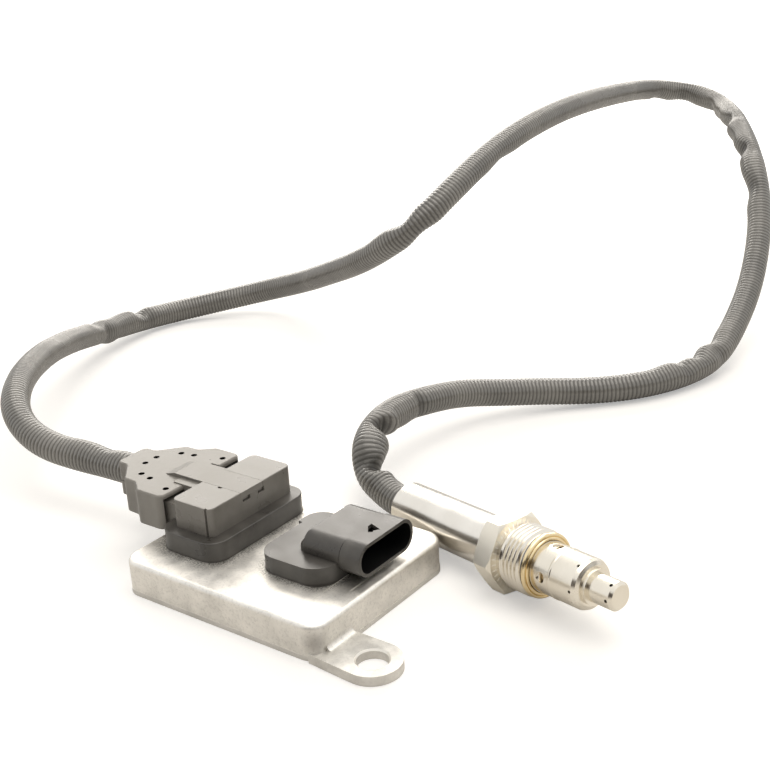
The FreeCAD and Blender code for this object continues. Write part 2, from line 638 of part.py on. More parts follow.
for x, off in VENTS:
    for s in (-1, 1):
        cover = cover.cut(cyl(VENT_R, BS_Z1 - VENT_DEPTH, BS_Z1 + 1, x, BS_Y + s * off))
save("backshell_cover", cover)

floor_piece = shell_plan(BS_SKIN, BS_CAVITY, NECK_X, BS_Z0, BS_Z0 + 1.5)
lower_neck = shell_plan(0.0, BS_BACK, BS_NECK_END, BS_Z0, BS_SEAM - BS_SEAM_GAP)
bridge = slab(BS_NECK_END, BS_CAVITY + 0.5, BS_Y - BRIDGE_Y, BS_Y + BRIDGE_Y, BS_Z0, BS_Z0 + 1.5)
base = fuse([floor_piece, bridge, lower_neck]).cut(entry).cut(way)
save("backshell_base", base)

# Conduit
conduit = tube(ROUTE, TUBE_R, "conduit")
save("conduit", conduit)
length = smooth_wire(ROUTE).Length
print("conduit volume", round(conduit.Volume), "section x length", round(math.pi * TUBE_R ** 2 * length))
print("conduit lowest", round(conduit.optimalBoundingBox(False, False).ZMin, 3))

# Header of the vehicle side
vh_plate = slab(VH_X0, VH_X1, VH_Y0, VH_Y1, UNIT_H, VH_TOP, (VH_R, 8.0, 8.0, VH_R))
bump = slab(BUMP_X, VH_X0 + 9.0, BUMP_Y, VH_Y1, UNIT_H, VH_TOP, (0.0, 0.0, 0.0, 5.5))
vh_plate = fuse([vh_plate, bump])


def mouth_prism(x0, x1, grow, r):
    wire = outline(-MOUTH_H / 2 - grow, MOUTH_H / 2 + grow, -MOUTH_W / 2 - grow, MOUTH_W / 2 + grow,
                   r + grow)
    face = Part.Face(wire)
    face.rotate(V(0, 0, 0), V(0, 1, 0), 90)
    face.translate(V(x0, MOUTH_Y, MOUTH_Z))
    return face.extrude(V(x1 - x0, 0, 0))


body = mouth_prism(BODY_BACK, COLLAR_X, -COLLAR_STEP, MOUTH_R)
back_edges = [e for e in body.Edges if abs(e.BoundBox.XMax - BODY_BACK) < 1e-4]
body = body.makeFillet(BODY_ROUND, back_edges)
body_y0 = MOUTH_Y - MOUTH_W / 2 + COLLAR_STEP
body_y1 = MOUTH_Y + MOUTH_W / 2 - COLLAR_STEP
step = slab(STEP_BACK, BODY_BACK + 4, body_y0 + STEP_IN, body_y1 - STEP_IN, UNIT_H, STEP_TOP,
            (3.0, 0.0, 0.0, 3.0))
step_edges = [e for e in step.Edges
              if abs(e.BoundBox.ZMin - STEP_TOP) < 1e-4 and e.BoundBox.XMax < BODY_BACK + 3]
step = step.makeFillet(STEP_ROUND, step_edges)
seam = mouth_prism(COLLAR_X - SEAM_W, COLLAR_X, 2.0, MOUTH_R)
seam = seam.cut(mouth_prism(COLLAR_X - SEAM_W - 1, COLLAR_X + 1, -COLLAR_STEP - SEAM_DEPTH, MOUTH_R))
rim = mouth_prism(COLLAR_X, MOUTH_X, 0.0, MOUTH_R)
vfoot = slab(VF_X0, VF_X1, VF_Y0, VF_Y1, BOARD_TOP, UNIT_H)
vehicle_header = fuse([vh_plate, step, body, rim, vfoot])
vehicle_header = vehicle_header.cut(seam)
vehicle_header = vehicle_header.cut(mouth_prism(CAVITY_X, MOUTH_X + 1, -MOUTH_WALL, MOUTH_R))
latch = polygon(LATCH, MOUTH_Z, MOUTH_Z + MOUTH_H)
vehicle_header = vehicle_header.cut(latch)
for tab in tabs:
    vehicle_header = vehicle_header.cut(tab)
save("vehicle_header", vehicle_header)
save("vehicle_header_pins", Part.makeCompound(tabs))

# Probe

def place(shape):
    copy = shape.copy()
    copy.Placement = SEAT.multiply(copy.Placement)
    return copy


def turn_profile(points):
    """Closed profile of (radius, station) pairs turned about the probe axis."""
    loop = [V(r, 0, t) for r, t in points]
    face = Part.Face(Part.makePolygon(loop + [loop[0]]))
    return face.revolve(V(0, 0, 0), V(0, 0, 1), 360)


sleeve_in = SLEEVE_R - SLEEVE_T
sleeve = cyl(SLEEVE_R, SLEEVE_BACK, SLEEVE_FRONT).cut(cyl(sleeve_in, SLEEVE_BACK - 1, SLEEVE_FRONT + 1))
save("probe_sleeve", place(sleeve))

leads = [cyl(LEAD_R, SLEEVE_BACK + TUBE_IN_SLEEVE, HOLDER_BACK, sx * LEAD_X, LEAD_PITCH * (k - 1.5))
         for sx in (-1, 1) for k in range(4)]
grommet = cyl(sleeve_in, SLEEVE_BACK, GROMMET_FRONT)
grommet = grommet.cut(cyl(TUBE_R + TUBE_FIT + 0.05, SLEEVE_BACK - 1, SLEEVE_BACK + TUBE_IN_SLEEVE))
for lead in leads:
    grommet = grommet.cut(lead)
save("rear_grommet", place(grommet))
save("probe_leads", place(Part.makeCompound(leads)))

strip = Part.makeBox(ELEMENT_T, ELEMENT_W, ELEMENT_FRONT - ELEMENT_BACK,
                     V(-ELEMENT_T / 2, -ELEMENT_W / 2, ELEMENT_BACK))
springs = [Part.makeBox(0.5, 0.6, -17.0 - HOLDER_BACK, V(ELEMENT_T / 2 if sx > 0 else -ELEMENT_T / 2 - 0.5,
                                                         LEAD_PITCH * (k - 1.5) - 0.3, HOLDER_BACK))
           for sx in (-1, 1) for k in range(4)]
holder = cyl(sleeve_in, HOLDER_BACK, HOLDER_FRONT)
gap = ELEMENT_T / 2 + 0.5
holder_l = HOLDER_FRONT - HOLDER_BACK + 2
holder = holder.cut(Part.makeBox(2 * gap, ELEMENT_W, holder_l, V(-gap, -ELEMENT_W / 2, HOLDER_BACK - 1)))
save("contact_holder", place(holder))
save("contact_springs", place(Part.makeCompound(springs)))
save("sensing_element", place(strip))

spigot_r = OUTER_R - CAP_SKIN
shell = turn_profile([(SHELL_BORE, SHELL_BACK), (sleeve_in, SHELL_BACK), (sleeve_in, SLEEVE_FRONT),
                      (SHELL_R, SLEEVE_FRONT), (SHELL_R, FLANGE_T0), (FLANGE_R, FLANGE_T0),
                      (FLANGE_R, FLANGE_T1), (NOSE_R, FLANGE_T1),
                      (NOSE_R, NOSE_END), (spigot_r, NOSE_END), (spigot_r, SPIGOT_END),
                      (SEAT_R, SPIGOT_END),
                      (SEAT_R, SEAT_T1), (SHELL_BORE, SEAT_T0)])
save("sensor_shell", place(shell))

rear_ceramic = cyl(SHELL_BORE, SHELL_BACK, 0.5).cut(strip)
powder = cyl(SHELL_BORE, 0.5, 5.0).cut(strip)
front_ceramic = turn_profile([(0, 5.0), (SHELL_BORE, 5.0), (SHELL_BORE, SEAT_T0), (SEAT_R, SEAT_T1),
                              (SEAT_R, SPIGOT_END - 1), (0, SPIGOT_END - 1)]).cut(strip)
save("rear_ceramic", place(rear_ceramic))
save("powder_pack", place(powder))
save("front_ceramic", place(front_ceramic))

ring_mid = NOSE_R + RING_SPLIT * (RING_R - NOSE_R)
ring = turn_profile([(NOSE_R, FLANGE_T1), (RING_R - 0.35, FLANGE_T1), (RING_R - 0.1, FLANGE_T1 + 0.15),
                     (RING_R, FLANGE_T1 + 0.45), (RING_R, RING_END - 0.5), (RING_R - 0.12, RING_END - 0.2),
                     (RING_R - 0.4, RING_END), (ring_mid + 0.25, RING_END), (ring_mid, RING_END - 0.2),
                     (ring_mid - 0.1, RING_END + 0.1), (ring_mid - 0.3, RING_END + 0.35),
                     (NOSE_R + 0.35, RING_END + 0.35), (NOSE_R + 0.1, RING_END + 0.15),
                     (NOSE_R, RING_END - 0.1)])
save("sealing_ring", place(ring))

circum = HEX_AF / math.sqrt(3)
corners = [V(circum * math.cos(math.radians(30 + 60 * k)), circum * math.sin(math.radians(30 + 60 * k)), 0)
           for k in range(6)]
hexagon = Part.Face(Part.makePolygon(corners + [corners[0]])).extrude(V(0, 0, HEX_T))
bevel = turn_profile([(0, 0), (HEX_CHAMFER_R, 0), (circum + 0.1, HEX_CHAMFER_H),
                      (circum + 0.1, HEX_T - HEX_CHAMFER_H),
                      (HEX_CHAMFER_R, HEX_T), (0, HEX_T)])
hexagon = hexagon.common(bevel)
stud = turn_profile([(0, HEX_T - 1), (UNDERCUT_R, HEX_T - 1), (UNDERCUT_R, THREAD_START - 0.5),
                     (THREAD_R, THREAD_START),
                     (THREAD_R, THREAD_END - THREAD_CHAMFER), (THREAD_R - THREAD_CHAMFER, THREAD_END),
                     (0, THREAD_END)])
hex_screw = fuse([hexagon, stud]).cut(cyl(SHELL_R + RUN_FIT, -1, THREAD_END + 1))
save("hex_screw", place(hex_screw))

# Outer protection tube with gas windows and a rounded front, then the inner tube
outer_tube = turn_profile([(spigot_r, NOSE_END), (OUTER_R, NOSE_END), (OUTER_R, BEAD_T - BEAD_HALF),
                           (OUTER_R + BEAD_RISE, BEAD_T - 0.2), (OUTER_R + BEAD_RISE, BEAD_T + 0.2),
                           (OUTER_R, BEAD_T + BEAD_HALF), (OUTER_R, OUTER_END - 1.6),
                           (OUTER_R - 0.5, OUTER_END - 0.5),
                           (OUTER_R - 1.6, OUTER_END), (NECKRING_R, OUTER_END), (NECKRING_R, NECKRING_END),
                           (TIP_R, NECKRING_END), (TIP_R, OUTER_END - CAP_SKIN),
                           (OUTER_R - 2.0, OUTER_END - CAP_SKIN),
                           (spigot_r, OUTER_END - 2.0)])
WINDOW_T = 22.7
WINDOW_R = 1.6
WINDOW_ANGLES = [-96, 178, 84, -6]
SMALL_T = OUTER_END - 2.0
SMALL_HOLE_R = 0.45
SMALL_ANGLES = [-93 - 60 * k for k in range(6)]
TIP_HOLE_T = 44.3
TIP_HOLE_R = 0.5
TIP_HOLE_ANGLES = [-89.5 - 65 * k for k in range(5)]


def radial_holes(shape, r, station, angles):
    for angle in angles:
        a = math.radians(angle)
        shape = shape.cut(Part.makeCylinder(r, 12, V(0, 0, station), V(math.cos(a), math.sin(a), 0)))
    return shape


outer_tube = radial_holes(outer_tube, WINDOW_R, WINDOW_T, WINDOW_ANGLES)
outer_tube = radial_holes(outer_tube, SMALL_HOLE_R, SMALL_T, SMALL_ANGLES)
save("outer_protection_tube", place(outer_tube))

tip_in = TIP_R - TIP_SKIN
inner_tube = turn_profile([(SEAT_R + 0.6, SPIGOT_END), (spigot_r, SPIGOT_END), (spigot_r, SPIGOT_END + 0.5),
                           (DRUM_R, SPIGOT_END + 0.5), (DRUM_R, DRUM_END), (TIP_R, DRUM_END),
                           (TIP_R, TIP_END - 0.8), (TIP_R - 0.8, TIP_END), (0, TIP_END),
                           (0, TIP_END - TIP_SKIN),
                           (TIP_R - 0.9, TIP_END - TIP_SKIN), (tip_in, TIP_END - 0.9),
                           (tip_in, SPIGOT_END + 0.5), (SEAT_R + 0.6, SPIGOT_END + 0.5)])
inner_tube = radial_holes(inner_tube, TIP_HOLE_R, TIP_HOLE_T, TIP_HOLE_ANGLES)
save("inner_protection_tube", place(inner_tube))
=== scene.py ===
# %% [markdown]
# An exhaust-gas sensor: a threaded steel probe, a corrugated conduit more than a metre long,
# and a flat cast control unit with two dark connectors on top. The measured model comes in
# first, because every piece made here sits on it. All lengths are metres.

# %% Load the measured model
import bpy
import bmesh
import math
from mathutils import Matrix, Vector


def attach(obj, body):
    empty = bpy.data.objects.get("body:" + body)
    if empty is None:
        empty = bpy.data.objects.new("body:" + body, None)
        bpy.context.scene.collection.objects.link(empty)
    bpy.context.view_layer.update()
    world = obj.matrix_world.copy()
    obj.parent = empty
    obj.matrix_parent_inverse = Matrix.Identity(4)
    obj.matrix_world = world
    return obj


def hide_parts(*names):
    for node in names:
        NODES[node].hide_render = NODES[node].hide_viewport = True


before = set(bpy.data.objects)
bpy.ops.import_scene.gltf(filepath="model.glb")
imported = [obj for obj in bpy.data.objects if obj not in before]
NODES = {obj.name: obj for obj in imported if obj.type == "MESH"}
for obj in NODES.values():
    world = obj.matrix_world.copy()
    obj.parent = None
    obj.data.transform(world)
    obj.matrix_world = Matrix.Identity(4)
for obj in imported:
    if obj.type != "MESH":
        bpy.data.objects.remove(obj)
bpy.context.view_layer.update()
MM = 0.001


# %% [markdown]
# Every piece that this file adds is made the same way: points and faces become a mesh whose
# object stays at the origin, with one material, and it rides on a body of the model.

# %% A helper that makes a piece
def make_piece(name, verts, faces, material, smooth=True):
    mesh = bpy.data.meshes.new(name)
    mesh.from_pydata([tuple(v) for v in verts], [], faces)
    mesh.update()
    return adopt(name, mesh, material, smooth=smooth)


def adopt(name, mesh, material, body="sensor", smooth=True):
    if smooth:
        mesh.shade_smooth()
    piece = bpy.data.objects.new(name, mesh)
    bpy.context.scene.collection.objects.link(piece)
    mesh.materials.clear()
    mesh.materials.append(material)
    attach(piece, body)
    print(name, "faces", len(mesh.polygons))
    return piece


print("helpers ready: make_piece, adopt")


# %% [markdown]
# Node trees are easier to read when one short call makes a node and joins its inputs. The
# helper takes plain values or other nodes' outputs, so a material reads like a sentence. Two
# shorter calls stand for the nodes used most: a sum, and a value moved from one range to
# another.

# %% Helpers that make shader nodes
def place_input(tree, node, key, value):
    """A key is a socket's name with underscores for spaces, or i0, i1 and so on by number."""
    if key[0] == "i" and key[1:].isdigit():
        socket = node.inputs[int(key[1:])]
    else:
        socket = node.inputs[key.replace("_", " ")]
    if isinstance(value, bpy.types.NodeSocket):
        tree.links.new(value, socket)
    else:
        socket.default_value = value


def add_node(tree, kind, props=None, **inputs):
    node = tree.nodes.new(kind)
    for key, value in (props or {}).items():
        setattr(node, key, value)
    for key, value in inputs.items():
        place_input(tree, node, key, value)
    return node


def maths(tree, operation, a, b=0.0):
    return add_node(tree, "ShaderNodeMath", {"operation": operation}, i0=a, i1=b).outputs[0]


def span(tree, value, ends, to=(0.0, 1.0), smooth=True):
    """Moves a value from the range between two ends to another range, and holds it there."""
    kind = "SMOOTHSTEP" if smooth else "LINEAR"
    return add_node(tree, "ShaderNodeMapRange", {"interpolation_type": kind}, Value=value,
                    From_Min=ends[0], From_Max=ends[1], To_Min=to[0], To_Max=to[1]).outputs[0]


def ramp(tree, factor, stops):
    node = tree.nodes.new("ShaderNodeValToRGB")
    tree.links.new(factor, node.inputs[0])
    line = node.color_ramp
    while len(line.elements) < len(stops):
        line.elements.new(0.5)
    for element, (position, colour) in zip(line.elements, stops):
        element.position = position
        element.color = (*colour, 1) if isinstance(colour, tuple) else (colour, colour, colour, 1)
    return node.outputs["Color"]


def empty_material(name):
    material = bpy.data.materials.new(name)
    material.use_nodes = True
    tree = material.node_tree
    tree.nodes.clear()
    return material, tree, tree.nodes.new("ShaderNodeOutputMaterial").inputs["Surface"]


def new_material(name):
    material, tree, surface = empty_material(name)
    shader = tree.nodes.new("ShaderNodeBsdfPrincipled")
    tree.links.new(shader.outputs[0], surface)
    where = tree.nodes.new("ShaderNodeTexCoord").outputs["Object"]
    return material, tree, shader, where


print("helpers ready: add_node, maths, span, ramp, new_material")


# %% [markdown]
# The floor is a large white sheet and the world is plain white light, as in a catalogue
# photo. To the camera the floor is lifted a little, so that it is pure white where nothing
# shades it, and the soft shadows near the object stay. Far away the lift grows until the
# floor and the background are the same white and no horizon shows.

# %% Floor, world and lamps
FLOOR_HALF = 6.0
FLOOR_GREY = (0.80, 0.80, 0.80, 1)
FLOOR_LIFT = 0.36
LIFT_GROWS = (0.30, 0.75)
WORLD_LIGHT = 0.50
WARM = (1.0, 0.945, 0.865)
WHITE = (1, 1, 1, 1)


def flat_sheet(name, corners, material):
    mesh = bpy.data.meshes.new(name)
    mesh.from_pydata(corners, [], [(0, 1, 2, 3)])
    mesh.materials.append(material)
    sheet = bpy.data.objects.new(name, mesh)
    bpy.context.scene.collection.objects.link(sheet)
    return sheet


def stage_floor():
    material, tree, surface = empty_material("white floor")
    where = tree.nodes.new("ShaderNodeTexCoord").outputs["Object"]
    reach = add_node(tree, "ShaderNodeVectorMath", {"operation": "LENGTH"}, i0=where)
    lift = span(tree, reach.outputs["Value"], LIFT_GROWS, (FLOOR_LIFT, 1.0))
    matte = add_node(tree, "ShaderNodeBsdfDiffuse", Color=FLOOR_GREY).outputs[0]
    glow = add_node(tree, "ShaderNodeEmission", Color=WHITE, Strength=lift).outputs[0]
    both = add_node(tree, "ShaderNodeAddShader", i0=matte, i1=glow).outputs[0]
    camera_ray = tree.nodes.new("ShaderNodeLightPath").outputs["Is Camera Ray"]
    choose = add_node(tree, "ShaderNodeMixShader", i0=camera_ray, i1=matte, i2=both)
    tree.links.new(choose.outputs[0], surface)
    half = FLOOR_HALF
    corners = [(-half, -half, 0), (half, -half, 0), (half, half, 0), (-half, half, 0)]
    floor = flat_sheet("floor", corners, material)


def stage_world():
    world = bpy.data.worlds.new("studio")
    world.use_nodes = True
    tree = world.node_tree
    tree.nodes.clear()
    surface = tree.nodes.new("ShaderNodeOutputWorld").inputs["Surface"]
    path = tree.nodes.new("ShaderNodeLightPath").outputs
    mirrored = maths(tree, "MAXIMUM", path["Is Glossy Ray"], path["Is Transmission Ray"])
    seen = maths(tree, "MAXIMUM", path["Is Camera Ray"], mirrored)
    plain = add_node(tree, "ShaderNodeBackground", Color=(*WARM, 1), Strength=WORLD_LIGHT).outputs[0]
    white = add_node(tree, "ShaderNodeBackground", Color=WHITE, Strength=1.0).outputs[0]
    mix = add_node(tree, "ShaderNodeMixShader", i0=seen, i1=plain, i2=white)
    tree.links.new(mix.outputs[0], surface)
    bpy.context.scene.world = world


def softbox(name, place, target, width, height, watts):
    light = bpy.data.lights.new(name, "AREA")
    light.shape = "RECTANGLE"
    light.size, light.size_y = width, height
    light.energy = watts
    light.color = WARM
    lamp = bpy.data.objects.new(name, light)
    lamp.location = place
    lamp.rotation_euler = (Vector(target) - Vector(place)).to_track_quat("-Z", "Y").to_euler()
    lamp.visible_camera = False
    bpy.context.scene.collection.objects.link(lamp)


stage_floor()
stage_world()
softbox("back softbox", (-1.0, 1.5, 0.9), (0.0, 0.0, 0.0), width=2.2, height=0.9, watts=26)
softbox("top softbox", (0.1, 0.2, 1.5), (0.0, 0.1, 0.0), width=1.4, height=1.4, watts=12)
print("floor", 2 * FLOOR_HALF, "m wide, lamps", [light.name for light in bpy.data.lights])


# %% [markdown]
# Polished steel only looks like steel when something dark is reflected in it. A studio hangs
# black cards for that. These two stand behind the camera and low beside it, so they never
# show, but they draw the dark bands along the probe.

# %% Black cards
CARD_BLACK = (0.05, 0.04, 0.035, 1)
CARDS = {"front card": ((-0.6, -1.5), (1.5, -0.9), 0.0, 0.75),
         "side card": ((0.9, -0.5), (1.3, 0.9), 0.02, 0.30)}


def black_card(name, left, right, low, high):
    """An upright card over the line between two places on the floor."""
    material, tree, surface = empty_material(name)
    matte = add_node(tree, "ShaderNodeBsdfDiffuse", Color=CARD_BLACK)
    tree.links.new(matte.outputs[0], surface)
    card = flat_sheet(name, [(*left, low), (*right, low), (*right, high), (*left, high)], material)
    card.visible_camera = False
    card.visible_diffuse = False
    card.visible_shadow = False


for card_name, card_sizes in CARDS.items():
    black_card(card_name, *card_sizes)
print("black cards", list(CARDS))


# %% [markdown]
# The camera stands where the photographer's stood: in front and to the right of the unit,
# about twenty degrees above it. Its place and direction come from the straight edges of
# the unit; its three axes are written as they were solved.

# %% Camera
CAMERA_AT = Vector((0.23257, -0.24586, 0.19295))
CAMERA_RIGHT = Vector((0.8028, 0.5936, -0.0567))
CAMERA_DOWN = Vector((0.1750, -0.3255, -0.9292))
CAMERA_LENS, CAMERA_FILM = 59.27, 36.0
CAMERA_CLIP = (0.01, 50)


def place_camera():
    data = bpy.data.cameras.new("camera")
    data.sensor_width = CAMERA_FILM
    data.lens = CAMERA_LENS
    data.clip_start, data.clip_end = CAMERA_CLIP
    camera = bpy.data.objects.new("camera", data)
    x = CAMERA_RIGHT.normalized()
    z = x.cross(-CAMERA_DOWN).normalized()
    y = z.cross(x)
    camera.matrix_world = Matrix(((x.x, y.x, z.x, CAMERA_AT.x), (x.y, y.y, z.y, CAMERA_AT.y),
                                  (x.z, y.z, z.z, CAMERA_AT.z), (0, 0, 0, 1)))
    bpy.context.scene.collection.objects.link(camera)
    bpy.context.scene.camera = camera


place_camera()
scene = bpy.context.scene
scene.view_settings.view_transform = "Standard"
print("camera at", tuple(round(c, 3) for c in CAMERA_AT))


# %% [markdown]
# Moulded plastic is never one colour: the tool's texture breaks the light into fine grain,
# and handling leaves paler, smoother patches. Both are one shader group with a grain size,
# so that every plastic and metal piece can share it.

# %% Shader group for moulded and cast grain
FLOAT, VECTOR = "NodeSocketFloat", "NodeSocketVector"
GRAIN_HEIGHT = 0.1 * MM


def make_group(name, numbers, outputs):
    group = bpy.data.node_groups.new(name, "ShaderNodeTree")
    face = group.interface
    face.new_socket("Position", in_out="INPUT", socket_type=VECTOR)
    for label, value in numbers:
        face.new_socket(label, in_out="INPUT", socket_type=FLOAT).default_value = value
    for label, kind in outputs:
        face.new_socket(label, in_out="OUTPUT", socket_type=kind)
    return group, group.nodes.new("NodeGroupInput").outputs, group.nodes.new("NodeGroupOutput").inputs


def grain_group():
    numbers = (("Scale", 900.0), ("Patch scale", 60.0), ("Depth", 0.3))
    group, given, out = make_group("surface grain", numbers, (("Patches", FLOAT), ("Normal", VECTOR)))
    where = given["Position"]
    fine = add_node(group, "ShaderNodeTexNoise", Vector=where, Scale=given["Scale"], Detail=3.0)
    broad = add_node(group, "ShaderNodeTexNoise", Vector=where, Scale=given["Patch scale"], Detail=4.0)
    bump = add_node(group, "ShaderNodeBump", Strength=given["Depth"], Distance=GRAIN_HEIGHT,
                    Height=fine.outputs[0])
    group.links.new(broad.outputs[0], out["Patches"])
    group.links.new(bump.outputs[0], out["Normal"])
    return group


GRAIN = grain_group()
print("shader group", GRAIN.name)


# %% [markdown]
# Used parts also carry small marks: dark pits in a casting, pale dust on a conduit. A Voronoi
# pattern scatters dots, and a slow noise decides where they gather, so they come in clouds
# and not evenly.

# %% Shader group for scattered specks
CLOUD_EDGES = (0.52, 0.72)


def speck_group():
    numbers = (("Scale", 900.0), ("Size", 0.25), ("Cloud scale", 40.0))
    group, given, out = make_group("scattered specks", numbers, (("Specks", FLOAT),))
    where = given["Position"]
    dots = add_node(group, "ShaderNodeTexVoronoi", Vector=where, Scale=given["Scale"])
    cloud = add_node(group, "ShaderNodeTexNoise", Vector=where, Scale=given["Cloud scale"], Detail=2.0)
    dense = span(group, cloud.outputs[0], CLOUD_EDGES, smooth=False)
    size = maths(group, "MULTIPLY", given["Size"], dense)
    core = maths(group, "MULTIPLY", size, 0.5)
    mask = span(group, dots.outputs["Distance"], (core, size), (1.0, 0.0), smooth=False)
    group.links.new(mask, out["Specks"])
    return group


SPECKS = speck_group()
print("shader group", SPECKS.name)


# %% [markdown]
# Where a plastic foot stands on the casting, dark grains of grime thin out over a few
# millimetres, and a thin dark line right at the foot is painted contact shade. The group measures
# how far a point is from a rectangle with rounded corners, so its sizes are those of the foot in
# millimetres.

# %% Shader group for grime and painted contact shade round a foot
MM_PER_METRE = 1000.0
GRIME_GRAINS = (0.44, 0.60)


def grime_and_contact_shade_group():
    numbers = (("Centre X", 0.0), ("Centre Y", 0.0), ("Half X", 10.0), ("Half Y", 10.0), ("Corner", 6.0),
               ("Reach", 5.0), ("Line", 0.6))
    group, given, out = make_group("dirt and contact shade round a foot", numbers, (("Dirt and contact shade", FLOAT),))
    where = given["Position"]
    mm = add_node(group, "ShaderNodeVectorMath", {"operation": "SCALE"}, i0=where, Scale=MM_PER_METRE)
    axes = add_node(group, "ShaderNodeSeparateXYZ", i0=mm.outputs["Vector"])
    past = {}
    for letter in "XY":
        shift = maths(group, "SUBTRACT", axes.outputs[letter], given["Centre " + letter])
        core = maths(group, "SUBTRACT", given["Half " + letter], given["Corner"])
        beyond = maths(group, "SUBTRACT", maths(group, "ABSOLUTE", shift), core)
        past[letter] = maths(group, "MAXIMUM", beyond, 0.0)
    both = add_node(group, "ShaderNodeCombineXYZ", **past)
    far = add_node(group, "ShaderNodeVectorMath", {"operation": "LENGTH"}, i0=both.outputs[0])
    gap = maths(group, "SUBTRACT", far.outputs["Value"], given["Corner"])
    near = span(group, gap, (given["Reach"], 0.0))
    fine = add_node(group, "ShaderNodeTexNoise", Vector=where, Scale=1900.0, Detail=4.0, Roughness=0.75)
    grains = maths(group, "MULTIPLY", near, span(group, fine.outputs[0], GRIME_GRAINS, smooth=False))
    # The thin dark line right at the foot is painted contact shade.
    line = span(group, gap, (given["Line"], 0.0))
    group.links.new(maths(group, "MAXIMUM", grains, line), out["Dirt and contact shade"])
    return group


GRIME_AND_CONTACT_SHADE = grime_and_contact_shade_group()
print("shader group", GRIME_AND_CONTACT_SHADE.name)


# %% [markdown]
# Every finish is built up in the same order. The base colour wanders between two tones, other
# colours are laid over it where a mask says so, and the roughness wanders with the base.

# %% Helpers that build up a finish
PATCH_EDGES = (0.3, 0.7)


def use_group(tree, group, where, **values):
    node = tree.nodes.new("ShaderNodeGroup")
    node.node_tree = group
    tree.links.new(where, node.inputs["Position"])
    for key, value in values.items():
        node.inputs[key.replace("_", " ")].default_value = value
    return node


def patchy(tree, grain, first, second):
    """Wanders between two colours, or two numbers, as the grain group's patches do."""
    return ramp(tree, grain.outputs["Patches"], list(zip(PATCH_EDGES, (first, second))))


def tint(tree, mask, base, over, strength=1.0):
    """Lays a colour over the base where the mask is white."""
    mix = add_node(tree, "ShaderNodeMix", {"data_type": "RGBA"})
    first, second, result = mix.inputs[6], mix.inputs[7], mix.outputs[2]
    tree.links.new(maths(tree, "MULTIPLY", mask, strength), mix.inputs["Factor"])
    tree.links.new(base, first)
    second.default_value = (*over, 1)
    return result


def join_finish(tree, shader, grain, colour, rough):
    tree.links.new(colour, shader.inputs["Base Color"])
    tree.links.new(rough, shader.inputs["Roughness"])
    tree.links.new(grain.outputs["Normal"], shader.inputs["Normal"])


print("helpers ready: use_group, patchy, tint, join_finish")


# %% [markdown]
# The two connectors are glass-filled plastic with a low gloss: their tops mirror the bright
# studio at a flat angle and look pale, while their sides stay dark. The roughness does that,
# so it is kept low, with scuffed patches that are a little duller and a fine grain on top.

# %% Plastics and rubbers
def plastic(name, dark, light, roughness, specular=0.5, patches=45.0, depth=0.25, spread=0.06):
    """The roughness goes from just under its number up by the spread, patch by patch."""
    material, tree, shader, where = new_material(name)
    grain = use_group(tree, GRAIN, where, Scale=1400.0, Patch_scale=patches, Depth=depth)
    smoothest = roughness - 0.02
    rough = patchy(tree, grain, smoothest, smoothest + spread)
    join_finish(tree, shader, grain, patchy(tree, grain, dark, light), rough)
    shader.inputs["Specular IOR Level"].default_value = specular
    return material


PLUG_PLASTIC = plastic("plug plastic", (0.178, 0.170, 0.157), (0.232, 0.221, 0.205), 0.27, specular=0.36,
                       patches=120.0, depth=0.06, spread=0.10)
SHELL_PLASTIC = plastic("backshell plastic", (0.215, 0.206, 0.192), (0.272, 0.262, 0.244), 0.29,
                        specular=0.26, patches=120.0, depth=0.06, spread=0.10)
HEADER_PLASTIC = plastic("header plastic", (0.052, 0.049, 0.045), (0.100, 0.095, 0.087), 0.27,
                         patches=130.0, depth=0.06, spread=0.16)
CAVITY_PLASTIC = plastic("socket cavity plastic", (0.004, 0.004, 0.004), (0.007, 0.007, 0.007), 0.6,
                         specular=0.1)
RUBBER = plastic("black rubber", (0.012, 0.012, 0.012), (0.02, 0.02, 0.02), 0.6)
SILICONE = plastic("red silicone", (0.30, 0.04, 0.02), (0.38, 0.06, 0.03), 0.45)
BOARD_LACQUER = plastic("green solder mask", (0.015, 0.09, 0.035), (0.02, 0.12, 0.05), 0.3)
WIRE_SKIN = plastic("wire insulation", (0.25, 0.25, 0.26), (0.32, 0.32, 0.33), 0.4)
CERAMIC = plastic("white ceramic", (0.78, 0.76, 0.70), (0.86, 0.84, 0.79), 0.55)
POWDER = plastic("grey pressed powder", (0.50, 0.50, 0.48), (0.62, 0.62, 0.60), 0.8)
print("plastics and rubbers, from", PLUG_PLASTIC.name, "to", POWDER.name)


# %% [markdown]
# The control unit is die-cast aluminium, satin and a little cloudy, with small dark pits
# that gather in places. The probe has three finishes: bright drawn steel tube, a duller turned
# screw, and a soft brass-coloured ring.

# %% Metals
# Colour and strength of the grime and the painted contact shade round the connectors' feet.
GRIME_AND_SHADE_COLOUR, GRIME_AND_SHADE_STRENGTH = (0.09, 0.08, 0.068), 0.85


